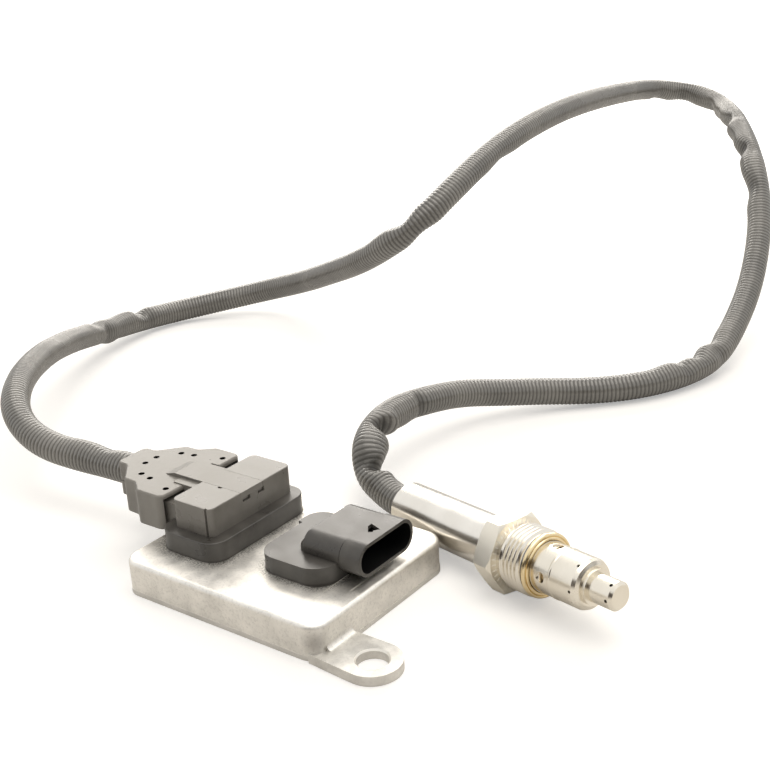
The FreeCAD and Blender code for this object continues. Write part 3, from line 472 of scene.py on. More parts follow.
def metal(name, dark, light, low, high, scale=1500.0, patches=70.0, depth=0.15, metallic=1.0, pits=0.0,
          pit_and_dark_reflection_colour=(0.22, 0.20, 0.18), mottle=0.0, dark_reflection=None, feet=()):
    """Low and high are the ends of the roughness; mottle and pits are marks, the patch round a given
    place is a painted dark reflection, and feet add grime with a thin line of painted contact shade.
    """
    material, tree, shader, where = new_material(name)
    grain = use_group(tree, GRAIN, where, Scale=scale, Patch_scale=patches, Depth=depth)
    colour = patchy(tree, grain, dark, light)
    if mottle > 0:
        spots = add_node(tree, "ShaderNodeTexNoise", Vector=where, Scale=1150.0, Detail=4.0,
                         Roughness=0.7)
        mask = span(tree, spots.outputs[0], (0.5, 0.75), (0.0, mottle), smooth=False)
        colour = tint(tree, mask, colour, pit_and_dark_reflection_colour)
    # A painted dark reflection: the colour darkens in a ball round a place and fades out at its radius.
    if dark_reflection:
        place, radius, strength = dark_reflection
        reach = add_node(tree, "ShaderNodeVectorMath", {"operation": "DISTANCE"}, i0=where, i1=place)
        mask = span(tree, reach.outputs["Value"], (radius, 0.0), (0.0, strength))
        colour = tint(tree, mask, colour, pit_and_dark_reflection_colour)
    # Round each foot: grime, and a thin line of painted contact shade.
    for foot in feet:
        foot_dirt_and_shade = use_group(tree, GRIME_AND_CONTACT_SHADE, where, **foot)
        colour = tint(tree, foot_dirt_and_shade.outputs[0], colour, GRIME_AND_SHADE_COLOUR, GRIME_AND_SHADE_STRENGTH)
    if pits > 0:
        specks = use_group(tree, SPECKS, where, Scale=1300.0, Size=0.42, Cloud_scale=34.0)
        colour = tint(tree, specks.outputs[0], colour, pit_and_dark_reflection_colour, pits)
    join_finish(tree, shader, grain, colour, patchy(tree, grain, low, high))
    shader.inputs["Metallic"].default_value = metallic
    return material


# A painted dark reflection on the casting's tapered front corner: its place, radius and strength.
CORNER_DARK_REFLECTION = ((0.0357, -0.0296, 0.0056), 0.0050, 0.62)
PLUG_FOOT = {"Centre_X": -21.25, "Centre_Y": 2.25, "Half_X": 11.95, "Half_Y": 21.75, "Corner": 6.0,
             "Reach": 5.6}
SOCKET_FOOT = {"Centre_X": 14.40, "Centre_Y": 1.15, "Half_X": 12.50, "Half_Y": 15.35, "Corner": 6.5,
               "Reach": 4.2}
CAST = metal("cast aluminium", (0.74, 0.715, 0.665), (0.93, 0.90, 0.84), 0.40, 0.54, scale=2600.0,
             patches=170.0, depth=0.14, pits=0.10, mottle=0.30, dark_reflection=CORNER_DARK_REFLECTION,
             feet=(PLUG_FOOT, SOCKET_FOOT))
# The ears' rounded edges: a brighter copy of the casting, a painted highlight.
EDGE_HIGHLIGHT_CAST = metal("cast edge with painted highlight", (0.90, 0.88, 0.83), (0.97, 0.95, 0.90), 0.26, 0.36, scale=2600.0,
                  patches=190.0, depth=0.10, metallic=0.30, pits=0.05)
# The ears' tops and sides: darker copies of the casting, painted shade.
EAR_TOP_SHADED_CAST = metal("cast aluminium with painted shade on ear tops", (0.56, 0.545, 0.51), (0.76, 0.74, 0.695), 0.40, 0.54,
                 scale=2600.0, patches=260.0, depth=0.14, pits=0.10, mottle=0.26)
EAR_SIDE_SHADED_CAST = metal("cast ear side with painted shade", (0.62, 0.60, 0.56), (0.86, 0.835, 0.785), 0.36, 0.50, scale=2600.0,
                 patches=190.0, depth=0.14, pits=0.10, mottle=0.15)
SHEET = metal("plate aluminium", (0.66, 0.64, 0.60), (0.80, 0.775, 0.73), 0.38, 0.52, pits=0.3)
SLEEVE = metal("sleeve steel", (0.76, 0.72, 0.65), (0.85, 0.815, 0.75), 0.16, 0.25, depth=0.05,
               pits=0.10, pit_and_dark_reflection_colour=(0.45, 0.38, 0.28))
HEX = metal("hexagon steel", (0.90, 0.845, 0.73), (0.98, 0.94, 0.84), 0.36, 0.48, depth=0.12, pits=0.15,
            pit_and_dark_reflection_colour=(0.45, 0.36, 0.26))
THREAD_STEEL = metal("thread steel", (0.78, 0.73, 0.64), (0.88, 0.84, 0.76), 0.16, 0.26, depth=0.06,
                     pits=0.15, pit_and_dark_reflection_colour=(0.40, 0.32, 0.22))
TUBE_STEEL = metal("tube steel", (0.78, 0.72, 0.61), (0.87, 0.82, 0.72), 0.20, 0.29, depth=0.05,
                   pits=0.10, pit_and_dark_reflection_colour=(0.45, 0.36, 0.25))
DRUM_STEEL = metal("heat-tinted steel", (0.70, 0.57, 0.38), (0.82, 0.70, 0.50), 0.40, 0.5)
BRASS = metal("ring brass", (0.78, 0.62, 0.36), (0.92, 0.79, 0.53), 0.18, 0.28, depth=0.08)
GOLD = metal("contact metal", (0.75, 0.60, 0.30), (0.82, 0.70, 0.42), 0.15, 0.25)
SCREW = metal("screw steel", (0.5, 0.5, 0.5), (0.6, 0.6, 0.6), 0.25, 0.4)
print("metals, from", CAST.name, "to", SCREW.name)


# %% [markdown]
# The pieces inside the unit, the plug and the probe keep their measured shapes. Each only needs
# its finish in the place of the plain grey one: lacquer, contact metal, ceramic or rubber.

# %% Dress the inner pieces
DRESS = {
    "sealing_bead": RUBBER, "circuit_board": BOARD_LACQUER, "board_components": RUBBER,
    "board_screws": SCREW, "sensor_header_pins": GOLD, "plug_seal": SILICONE, "plug_contacts": GOLD,
    "plug_wires": WIRE_SKIN, "vehicle_header_pins": GOLD, "rear_grommet": RUBBER,
    "probe_leads": WIRE_SKIN, "contact_holder": CERAMIC, "contact_springs": GOLD,
    "sensing_element": CERAMIC, "rear_ceramic": CERAMIC, "powder_pack": POWDER, "front_ceramic": CERAMIC}
for node_name, material in DRESS.items():
    mesh = NODES[node_name].data
    mesh.materials.clear()
    mesh.materials.append(material)
print("inner pieces dressed", len(DRESS))


# %% [markdown]
# The conduit is one smooth line through the air. Its control points are the same ones the
# measured model uses, and a NURBS spline of order three follows them without corners.

# %% The conduit's line
ROUTE_MM = [
    (-61.0, 3.2, 19.2), (-76.0, 3.2, 19.2), (-91.5, 2.0, 19.0), (-107.0, 0.0, 20.5),
    (-119.5, 1.0, 23.5), (-131.0, 6.5, 27.0), (-142.5, 17.5, 29.5), (-157.5, 35.0, 28.5),
    (-176.0, 60.0, 24.5), (-194.0, 86.5, 17.5), (-208.5, 115.5, 10.0), (-213.5, 142.0, 6.5),
    (-209.5, 163.5, 5.5), (-194.0, 183.0, 8.0), (-174.0, 194.0, 13.0), (-148.5, 189.5, 21.5),
    (-122.0, 177.0, 32.5), (-96.0, 165.0, 43.5), (-75.0, 160.0, 55.0), (-61.5, 166.0, 66.0),
    (-56.5, 182.0, 76.0), (-56.5, 206.0, 84.0), (-56.5, 236.0, 90.0), (-58.0, 272.0, 92.5),
    (-61.5, 310.0, 91.5), (-66.0, 349.0, 88.5), (-68.5, 375.0, 86.0), (-68.0, 391.0, 84.0),
    (-61.0, 402.0, 82.0), (-49.5, 406.5, 80.0), (-38.0, 403.0, 77.5), (-28.5, 393.0, 76.0),
    (-17.5, 375.0, 76.5), (-4.0, 352.0, 76.0), (9.5, 330.0, 71.5), (21.0, 312.0, 64.0),
    (29.5, 298.5, 50.5), (35.5, 283.0, 37.5), (40.0, 263.5, 23.0), (42.5, 240.5, 12.5),
    (43.5, 220.0, 6.5), (40.0, 199.5, 5.5), (30.0, 179.5, 5.5), (16.0, 165.5, 5.5),
    (2.0, 153.5, 7.0), (-9.0, 139.0, 9.5), (-17.0, 123.0, 13.5), (-20.0, 105.5, 16.5),
    (-21.5, 89.5, 18.5), (-19.0, 76.0, 19.5), (-15.5, 64.0, 18.5), (-11.0, 56.0, 16.0),
    (-5.5, 51.0, 11.5), (2.0, 49.0, 8.5)]
PROBE_AT = Vector((56.9, 33.1, 11.0)) * MM
PROBE_AZ, PROBE_EL = math.radians(-15.9), math.radians(3.9)
ALONG = Vector((math.cos(PROBE_AZ) * math.cos(PROBE_EL), math.sin(PROBE_AZ) * math.cos(PROBE_EL),
                math.sin(PROBE_EL)))
SLEEVE_LONG_MM, CORD_BEFORE_MM, CORD_INSIDE_MM = 44.0, 4.8, 3.0
SLEEVE_REAR = PROBE_AT - ALONG * SLEEVE_LONG_MM * MM
TUBE_R = 5.3 * MM
LINE_STEPS = 40
route = [Vector(p) * MM for p in ROUTE_MM]
route += [SLEEVE_REAR - ALONG * CORD_BEFORE_MM * MM, SLEEVE_REAR + ALONG * CORD_INSIDE_MM * MM]


def evaluated(name, data, prepare=None):
    """Puts data in a passing object, lets Blender work it out, and keeps the mesh of that."""
    holder = bpy.data.objects.new(name, data)
    bpy.context.scene.collection.objects.link(holder)
    if prepare:
        prepare(holder)
    bpy.context.view_layer.update()
    mesh = bpy.data.meshes.new_from_object(holder.evaluated_get(bpy.context.evaluated_depsgraph_get()))
    holder.modifiers.clear()
    bpy.data.objects.remove(holder)
    return mesh


def smooth_line(points, name):
    """A mesh line along the NURBS spline of order three through the route."""
    curve = bpy.data.curves.new(name, "CURVE")
    curve.dimensions = "3D"
    spline = curve.splines.new("NURBS")
    spline.points.add(len(points) - 1)
    for point, place in zip(spline.points, points):
        point.co = (*place, 1)
    spline.order_u = 3
    spline.use_endpoint_u = True
    curve.resolution_u = LINE_STEPS
    return evaluated(name, curve)


line_mesh = smooth_line(route, "conduit line")
conduit_line = [v.co.copy() for v in line_mesh.vertices]
stations = [0.0]
for a, b in zip(conduit_line, conduit_line[1:]):
    stations.append(stations[-1] + (b - a).length)
print("conduit line", len(conduit_line), "points", round(stations[-1], 4), "m long")


# %% [markdown]
# The conduit is glossy dark plastic with pale dust on it in clouds. Its grooves and folds are
# painted darker and given less sheen: painted shade. The finish reads two numbers that the next
# steps store at every point: the distance along the line, which gives the ribs, and the depth
# of the fold that the point lies in.

# %% Conduit plastic
RIBS = 716
RIB = {"Radius": TUBE_R, "Pitch": stations[-1] / RIBS, "Depth": 0.23 * MM, "Unevenness": 0.18 * MM,
       "Seed": 4.0}
GROOVE_SHADE_COLOUR = (0.028, 0.027, 0.026)
FOLD_SHADE_COLOUR, FOLD_SHADE_STRENGTH = (0.030, 0.029, 0.027), 0.72
DUST_COLOUR, DUST_STRENGTH = (0.45, 0.42, 0.37), 0.25


def ribbed_plastic():
    """Painted shade in the grooves and the folds, darker and duller there, with dust here and there."""
    material, tree, shader, where = new_material("conduit plastic")
    grain = use_group(tree, GRAIN, where, Scale=1400.0, Patch_scale=55.0, Depth=0.10)
    colour = patchy(tree, grain, (0.150, 0.145, 0.134), (0.240, 0.232, 0.216))
    station = add_node(tree, "ShaderNodeAttribute", {"attribute_name": "station"}).outputs["Fac"]
    wave = maths(tree, "COSINE", maths(tree, "MULTIPLY", station, 2 * math.pi / RIB["Pitch"]))
    # Painted shade: the grooves are darker.
    colour = tint(tree, span(tree, wave, (0.2, -0.9), (0.0, 0.46)), colour, GROOVE_SHADE_COLOUR)
    specks = use_group(tree, SPECKS, where, Scale=1100.0, Size=0.30, Cloud_scale=28.0)
    colour = tint(tree, specks.outputs[0], colour, DUST_COLOUR, DUST_STRENGTH)
    crease = add_node(tree, "ShaderNodeAttribute", {"attribute_name": "crease"}).outputs["Fac"]
    # Painted shade: darker where the point lies deep in a fold.
    colour = tint(tree, crease, colour, FOLD_SHADE_COLOUR, FOLD_SHADE_STRENGTH)
    join_finish(tree, shader, grain, colour, patchy(tree, grain, 0.21, 0.31))
    # Less specular in the grooves and the folds, as painted shade, and more on the crests.
    on_crests = span(tree, wave, (0.5, -0.8), (1.0, 0.40))
    outside_folds = span(tree, crease, (0.0, 1.0), (1.0, 0.35), smooth=False)
    sheen = maths(tree, "MULTIPLY", on_crests, outside_folds)
    tree.links.new(sheen, shader.inputs["Specular IOR Level"])
    return material


CONDUIT_PLASTIC = ribbed_plastic()
print(CONDUIT_PLASTIC.name, "with a rib every", round(RIB["Pitch"] / MM, 3), "mm")


# %% [markdown]
# The corrugated wall repeats one rib every 1.6 millimetres along that line, which is work
# for Geometry Nodes. The tree resamples the line to five rings per rib, turns the distance
# along it into a wave, and lets the wave set the ring's size, with a slow noise on top, since
# a used conduit is never quite even. The noise has a fixed seed, so it is the same each run.
# The distance is kept as an attribute for the finish and for the next step.

# %% Geometry nodes for the ribs
RINGS_PER_RIB = 5
AROUND = 26
CREST_EDGES = (-0.75, 0.30)


def rib_tree(material):
    tree = bpy.data.node_groups.new("ribbed tube", "GeometryNodeTree")
    face = tree.interface
    face.new_socket("Line", in_out="INPUT", socket_type="NodeSocketGeometry")
    for name, value in RIB.items():
        face.new_socket(name, in_out="INPUT", socket_type=FLOAT).default_value = value
    face.new_socket("Around", in_out="INPUT", socket_type="NodeSocketInt").default_value = AROUND
    face.new_socket("Tube", in_out="OUTPUT", socket_type="NodeSocketGeometry")
    given = tree.nodes.new("NodeGroupInput").outputs
    result = tree.nodes.new("NodeGroupOutput").inputs
    curve = add_node(tree, "GeometryNodeMeshToCurve", Mesh=given["Line"]).outputs[0]
    step = maths(tree, "DIVIDE", given["Pitch"], float(RINGS_PER_RIB))
    rings = add_node(tree, "GeometryNodeResampleCurve", {"mode": "LENGTH"}, Curve=curve, Length=step)
    travelled = tree.nodes.new("GeometryNodeSplineParameter").outputs["Length"]
    turn = maths(tree, "MULTIPLY", maths(tree, "DIVIDE", travelled, given["Pitch"]), 2 * math.pi)
    crest = span(tree, maths(tree, "COSINE", turn), CREST_EDGES)
    place = tree.nodes.new("GeometryNodeInputPosition").outputs[0]
    slow = add_node(tree, "ShaderNodeTexNoise", {"noise_dimensions": "4D"}, Vector=place,
                    W=given["Seed"], Scale=38.0, Detail=2.0)
    sag = maths(tree, "MULTIPLY", given["Unevenness"], slow.outputs[0])
    groove = maths(tree, "MULTIPLY", given["Depth"], maths(tree, "SUBTRACT", 1.0, crest))
    size = maths(tree, "SUBTRACT", maths(tree, "SUBTRACT", given["Radius"], sag), groove)
    kept = add_node(tree, "GeometryNodeStoreNamedAttribute", {"data_type": "FLOAT", "domain": "POINT"},
                    Geometry=rings.outputs[0], Name="station", Value=travelled)
    ring = add_node(tree, "GeometryNodeCurvePrimitiveCircle", Resolution=given["Around"], Radius=1.0)
    tube = add_node(tree, "GeometryNodeCurveToMesh", Curve=kept.outputs[0],
                    Profile_Curve=ring.outputs[0], Scale=size, Fill_Caps=True)
    real = add_node(tree, "GeometryNodeRealizeInstances", Geometry=tube.outputs[0])
    dressed = add_node(tree, "GeometryNodeSetMaterial", Geometry=real.outputs[0], Material=material)
    tree.links.new(dressed.outputs[0], result["Tube"])
    return tree


def grown(mesh, tree, name, values):
    """Runs a geometry tree on a mesh and gives the result as a plain mesh."""
    def add_tree(holder):
        modifier = holder.modifiers.new(name, "NODES")
        modifier.node_group = tree
        for item in tree.interface.items_tree:
            if item.in_out == "INPUT" and item.name in values:
                modifier[item.identifier] = values[item.name]

    return evaluated(name, mesh, add_tree)


tube_mesh = grown(line_mesh, rib_tree(CONDUIT_PLASTIC), "conduit ribs", {**RIB, "Around": AROUND})
print("conduit faces", len(tube_mesh.polygons))


# %% [markdown]
# Thin corrugated pipe kinks where it is bent hard: one side of the wall is pushed in, the
# ribs beside it bulge, and a crease runs across. Each kink is named by its distance along the
# line, its half length, how deep it goes in tube radii (less than zero is a bulge), and the
# side that is pushed: to the right, down, or towards the camera. Along the line the push has
# the shape of a bell, with a low lip before and behind it, and ends three half lengths away.

# %% Kinks
KINKS = [
    (0.018, 0.0040, 0.16, (0.0, -1.0, 0.3)), (0.030, 0.0050, -0.10, (0.0, -1.0, 0.2)),
    (0.060, 0.0100, 0.06, (-0.4, 0.6, 0.5)), (0.150, 0.0110, 0.08, (0.2, -0.8, 0.6)),
    (0.196, 0.0040, 0.22, (0.0, -1.0, 0.3)), (0.203, 0.0040, 0.26, (0.1, 0.1, 1.0)),
    (0.208, 0.0040, -0.16, (0.0, 1.0, 0.2)), (0.223, 0.0060, -0.14, (0.0, -1.0, 0.1)),
    (0.233, 0.0036, 0.40, (0.3, -1.0, 0.2)), (0.238, 0.0030, 0.20, (0.2, -0.2, 1.0)),
    (0.414, 0.0060, -0.13, (-0.4, -1.0, 0.1)), (0.427, 0.0050, 0.26, (-0.5, -1.0, 0.2)),
    (0.431, 0.0050, 0.20, (0.6, 1.0, 0.1)), (0.486, 0.0070, 0.15, (0.6, 1.0, 0.0)),
    (0.668, 0.0050, 0.20, (0.0, 1.0, 0.3)), (0.684, 0.0050, 0.26, (-0.2, 1.0, 0.3)),
    (0.710, 0.0070, 0.36, (-0.7, 0.7, 0.2)), (0.757, 0.0080, 0.46, (-1.0, 0.1, 0.2)),
    (0.772, 0.0050, -0.14, (-1.0, 0.1, 0.2)), (0.764, 0.0050, 0.14, (-0.2, 0.1, 1.0)),
    (0.797, 0.0050, 0.52, (-1.0, 0.0, 0.3)), (0.802, 0.0040, 0.16, (-0.1, 0.0, 1.0)),
    (0.811, 0.0050, -0.12, (-1.0, 0.0, 0.2)), (0.824, 0.0060, 0.30, (-1.0, 0.0, 0.2)),
    (0.919, 0.0040, 0.16, (-0.7, -0.7, 0.2)), (0.930, 0.0042, -0.20, (-0.7, -0.7, 0.2)),
    (0.926, 0.0030, 0.20, (0.1, 0.1, 1.0)), (0.937, 0.0040, 0.22, (-0.5, -0.8, 0.2)),
    (0.947, 0.0030, 0.22, (-0.2, -0.7, 0.7)), (0.955, 0.0050, -0.16, (-0.1, -1.0, 0.2)),
    (1.069, 0.0026, 0.30, (0.0, 0.1, 1.0)), (1.080, 0.0060, -0.14, (0.6, 0.8, 0.2)),
    (1.0955, 0.0030, 0.62, (0.9, 0.5, 0.2)), (1.099, 0.0034, 0.46, (0.1, 0.2, 1.0)),
    (1.0915, 0.0024, -0.22, (0.1, 0.2, 1.0)), (1.108, 0.0060, -0.30, (1.0, 0.1, 0.2)),
    (1.1160, 0.0040, 0.42, (-0.1, 0.0, 1.0)), (1.1195, 0.0032, 0.64, (1.0, -0.2, 0.7)),
    (1.108, 0.0040, -0.10, (1.0, 0.0, 0.2))]
NEAR_KINK = 3
LIP_HIGH, LIP_AT, LIP_NARROW = 0.16, 1.8, 1.6
LEAN_POWER = 1.3
# How the painted shade of a fold narrows along the line, and how strong it gets.
FOLD_SHADE_NARROW, FOLD_SHADE_GAIN = 1.6, 2.2


def place_at(distance):
    """The point that far along the line, and the line's direction there."""
    low, high = 0, len(stations) - 1
    while high - low > 1:
        middle = (low + high) // 2
        low, high = (middle, high) if stations[middle] <= distance else (low, middle)
    before, after = conduit_line[low], conduit_line[high]
    gap = stations[high] - stations[low]
    part = (distance - stations[low]) / gap if gap > 0 else 0.0
    return before.lerp(after, part), (after - before).normalized()


def press_kinks(mesh):
    """Moves the points near each kink and stores how deep in a fold each of them lies."""
    towards = CAMERA_DOWN.cross(CAMERA_RIGHT).normalized()
    kinks = [(at, reach, depth, CAMERA_RIGHT * right + CAMERA_DOWN * down + towards * near)
             for at, reach, depth, (right, down, near) in KINKS]
    moved = 0
    crease = mesh.attributes.new("crease", "FLOAT", "POINT")
    for vertex, stored in zip(mesh.vertices, mesh.attributes["station"].data):
        near = [kink for kink in kinks if abs(stored.value - kink[0]) < NEAR_KINK * kink[1]]
        if not near:
            continue
        centre, along = place_at(stored.value)
        from_centre = vertex.co - centre
        shift = Vector()
        hollow = 0.0
        for at, reach, depth, side in near:
            press = (side - along * side.dot(along)).normalized()
            lean = max(0.0, from_centre.dot(press) / TUBE_R)
            away = (stored.value - at) / reach
            lip = LIP_HIGH * math.exp(-((abs(away) - LIP_AT) * LIP_NARROW) ** 2)
            profile = math.exp(-away * away) - lip
            shift -= press * (TUBE_R * depth * profile * lean ** LEAN_POWER)
            # How deep in a fold the point lies; the finish paints shade from it.
            hollow += depth * math.exp(-FOLD_SHADE_NARROW * away * away) * lean
        vertex.co += shift
        crease.data[vertex.index].value = min(1.0, max(0.0, FOLD_SHADE_GAIN * hollow))
        moved += 1
    mesh.update()
    print("points moved by kinks", moved)


press_kinks(tube_mesh)
conduit = adopt("ribbed_conduit", tube_mesh, CONDUIT_PLASTIC)
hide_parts("conduit")


# %% [markdown]
# The casting's ears are a little rounded where the top meets the side, and that line catches
# the light. The measured model has a plain corner there. The edges are found by where they are
# and which way the faces beside them look, and get a small bevel.

# %% Rounded ear edges
EAR_TOP = 3.0 * MM
EAR_ROUND, EAR_ROUND_FROM_X = 0.40 * MM, 38.6 * MM
LEVEL, UPRIGHT = 0.95, 0.2


def round_ear_edges(skin):
    sharp = []
    for edge in skin.edges:
        middle = (edge.verts[0].co + edge.verts[1].co) / 2
        inner = abs(middle.x) < EAR_ROUND_FROM_X
        if inner or len(edge.link_faces) != 2 or abs(middle.z - EAR_TOP) > 0.01 * MM:
            continue
        low, high = sorted(face.normal.z for face in edge.link_faces)
        if high > LEVEL and abs(low) < UPRIGHT:
            sharp.append(edge)
    bmesh.ops.bevel(skin, geom=sharp, offset=EAR_ROUND, offset_type="OFFSET", segments=2, profile=0.5,
                    affect="EDGES", clamp_overlap=True)
    print("ear edges rounded", len(sharp))


print("ear edges get a round of", EAR_ROUND, "m")


# %% [markdown]
# The measured model comes in as patches of triangles, one patch per face of the part, with
# the face's true direction at every corner. A copy of each visible part is merged into one
# closed skin. Merging would spoil the directions, so they are kept beside the mesh first and
# given back afterwards: flat faces stay flat and rounds look round.

# %% Smooth copies of the measured parts
WELD = 1e-6
TRUE_ENOUGH = 0.94


def skin_of(node_name):
    """A merged copy of a node's mesh, with the true direction of its face at every corner."""
    mesh = NODES[node_name].data.copy()
    numbers = [0.0] * (3 * len(mesh.loops))
    mesh.corner_normals.foreach_get("vector", numbers)
    kept = mesh.attributes.new("true direction", "FLOAT_VECTOR", "CORNER")
    kept.data.foreach_set("vector", numbers)
    skin = bmesh.new()
    skin.from_mesh(mesh)
    bmesh.ops.remove_doubles(skin, verts=skin.verts, dist=WELD)
    if node_name == "housing":
        skin.normal_update()
        round_ear_edges(skin)
    skin.to_mesh(mesh)
    skin.free()
    numbers = [0.0] * (3 * len(mesh.loops))
    mesh.attributes["true direction"].data.foreach_get("vector", numbers)
    mesh.attributes.remove(mesh.attributes["true direction"])
    for face in mesh.polygons:
        for corner in face.loop_indices:
            if face.normal.dot(Vector(numbers[3 * corner:3 * corner + 3])) < TRUE_ENOUGH:
                numbers[3 * corner:3 * corner + 3] = face.normal
    mesh.shade_smooth()
    mesh.normals_split_custom_set([numbers[i:i + 3] for i in range(0, len(numbers), 3)])
    return mesh


SKINS = [
    ("housing", "unit_casting", CAST, "cast_aluminium"),
    ("base_plate", "unit_floor_plate", SHEET, "plate_aluminium"),
    ("sensor_header", "plug_pedestal", HEADER_PLASTIC, "header_plastic"),
    ("plug_body", "cable_plug", PLUG_PLASTIC, "plug_plastic"),
    ("backshell_cover", "backshell_top", SHELL_PLASTIC, "plug_plastic"),
    ("backshell_base", "backshell_floor", SHELL_PLASTIC, "plug_plastic"),
    ("vehicle_header", "loom_socket", HEADER_PLASTIC, "header_plastic"),
    ("probe_sleeve", "sleeve_tube", SLEEVE, "sleeve_steel"),
    ("sensor_shell", "turned_shell", SLEEVE, "shell_steel"),
    ("sealing_ring", "brass_ring", BRASS, "ring_brass"),
    ("outer_protection_tube", "outer_gas_tube", TUBE_STEEL, "tube_steel"),
    ("inner_protection_tube", "inner_gas_tube", TUBE_STEEL, "tube_steel")]
skins = {}
for node_name, piece_name, material, slot_name in SKINS:
    piece = adopt(piece_name, skin_of(node_name), material, smooth=False)
    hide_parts(node_name)
    skins[node_name] = piece


# %% [markdown]
# One piece can carry more than one finish. Faces are chosen by where they are, and given
# another material: the inside of the loom socket and the small holes in the plug's shell are
# deep black, because no light reaches them, and the drum behind the gas windows is
# heat-tinted. On the ears the casting is painted darker on top and a little darker at their
# sides, both painted shade, and brighter along their rounded edges, a painted highlight.

# %% Second finishes
def finish_where(piece, material, wanted):
    mesh = piece.data
    mesh.materials.append(material)
    index = len(mesh.materials) - 1
    count = 0
    for face in mesh.polygons:
        if wanted(face.center, face.normal):
            face.material_index = index
            count += 1
    print(piece.name, "faces with", material.name, count)


MOUTH_AT = Vector((0.0, 5.4, 17.7)) * MM
MOUTH_HALF_Y, MOUTH_HALF_Z = 11.9 * MM, 4.1 * MM
CAVITY_X = (17.8 * MM, 34.9 * MM)
DRUM_END = 25.8 * MM
EAR_FROM_X, EAR_ROOT_X, EAR_OUTER_X = 34.0 * MM, 35.2 * MM, 38.5 * MM
BACKSHELL_TOP, BACKSHELL_Y = 24.9 * MM, 3.2 * MM
VENTS_MM = [(-57.8, 2.5), (-52.8, 8.85), (-48.0, 9.8), (-38.0, 12.7)]
VENT_R, VENT_FROM_Z = 1.1 * MM, 24.0 * MM


def in_mouth(centre, normal):
    away = centre - MOUTH_AT
    beside = abs(away.y) < MOUTH_HALF_Y and abs(away.z) < MOUTH_HALF_Z
    faces_in = away.y * normal.y + away.z * normal.z < -0.5 * MM or normal.x > 0.9
    return beside and CAVITY_X[0] < centre.x < CAVITY_X[1] and faces_in


def in_vent(centre, normal):
    beside = abs(centre.y - BACKSHELL_Y)
    reach = min(math.hypot(centre.x - x * MM, beside - y * MM) for x, y in VENTS_MM)
    return reach < VENT_R and VENT_FROM_Z < centre.z < BACKSHELL_TOP - 0.02 * MM


def on_drum(centre, normal):
    return (centre - PROBE_AT).dot(ALONG) < DRUM_END


def on_ear(centre, normal):
    return abs(centre.x) > EAR_FROM_X and abs(centre.z - EAR_TOP) < 0.3 * MM and normal.z > 0.95


def on_ear_side(centre, normal):
    beside = abs(centre.x) > EAR_OUTER_X or (abs(centre.x) > EAR_ROOT_X and abs(normal.x) < 0.6)
    return beside and centre.z < EAR_TOP + 0.1 * MM and normal.z < 0.3


def on_ear_edge(centre, normal):
    return abs(centre.x) > EAR_FROM_X and centre.z < EAR_TOP + 0.1 * MM and 0.3 < normal.z < 0.95


finish_where(skins["vehicle_header"], CAVITY_PLASTIC, in_mouth)
finish_where(skins["backshell_cover"], CAVITY_PLASTIC, in_vent)
finish_where(skins["inner_protection_tube"], DRUM_STEEL, on_drum)
finish_where(skins["housing"], EAR_TOP_SHADED_CAST, on_ear)
finish_where(skins["housing"], EAR_SIDE_SHADED_CAST, on_ear_side)
finish_where(skins["housing"], EDGE_HIGHLIGHT_CAST, on_ear_edge)


# %% [markdown]
# The hollow screw turns about the probe's axis, so its points are given by a radius, an angle
# and a distance along that axis. Its hexagon is cut from a round bar, so each corner has a
# curved chamfer: the smaller of the hexagon's radius and the cone's radius at every angle
# gives exactly that line.

# %% Hexagon
HEX_HALF = 11.0 * MM
HEX_LONG = 6.7 * MM
HEX_CONE = 11.3 * MM
HEX_CHAMFER = 0.8 * MM
HEX_AROUND, CHAMFER_STEPS = 180, 8
UNDERCUT_R = 9.2 * MM
BORE = 7.56 * MM
DOWN = (Vector((0, 0, -1)) - ALONG * (-ALONG.z)).normalized()
SIDE = ALONG.cross(DOWN)


def about_axis(radius, angle, station):
    return PROBE_AT + ALONG * station + (DOWN * math.cos(angle) + SIDE * math.sin(angle)) * radius


def round_ring(radius, station, around):
    return [about_axis(radius, 2 * math.pi * j / around, station) for j in range(around)]


def hexagon_rings():
    corner = HEX_HALF / math.cos(math.pi / 6) + 0.1 * MM
    steps = [(HEX_CHAMFER * part, HEX_CONE + (corner - HEX_CONE) * part)
             for part in (step / CHAMFER_STEPS for step in range(CHAMFER_STEPS + 1))]
    steps += [(HEX_LONG - t, r) for t, r in reversed(steps)]
    rings = [round_ring(BORE, 0.0, HEX_AROUND)]
    for t, cone in steps:
        ring = []
        for j in range(HEX_AROUND):
            angle = 2 * math.pi * j / HEX_AROUND
            fold = (angle + math.pi / 6) % (math.pi / 3) - math.pi / 6
            ring.append(about_axis(min(HEX_HALF / math.cos(fold), cone), angle, t))
        rings.append(ring)
    return rings + [round_ring(UNDERCUT_R, HEX_LONG, HEX_AROUND)]


print("hexagon rings", len(hexagon_rings()))


# %% [markdown]
# The thread is one grid of points that climbs a pitch per turn, so that crests and roots follow
# the helix. At both ends it fades into the root, as a cut thread does.

# %% Thread
THREAD = {"start": 7.7 * MM, "end": 16.5 * MM, "crest": 10.0 * MM, "root": 9.12 * MM, "pitch": 1.5 * MM}
THREAD_AROUND = 72
RUN_IN = 0.3 * MM
FADE_IN, FADE_OUT = 0.9, 0.5


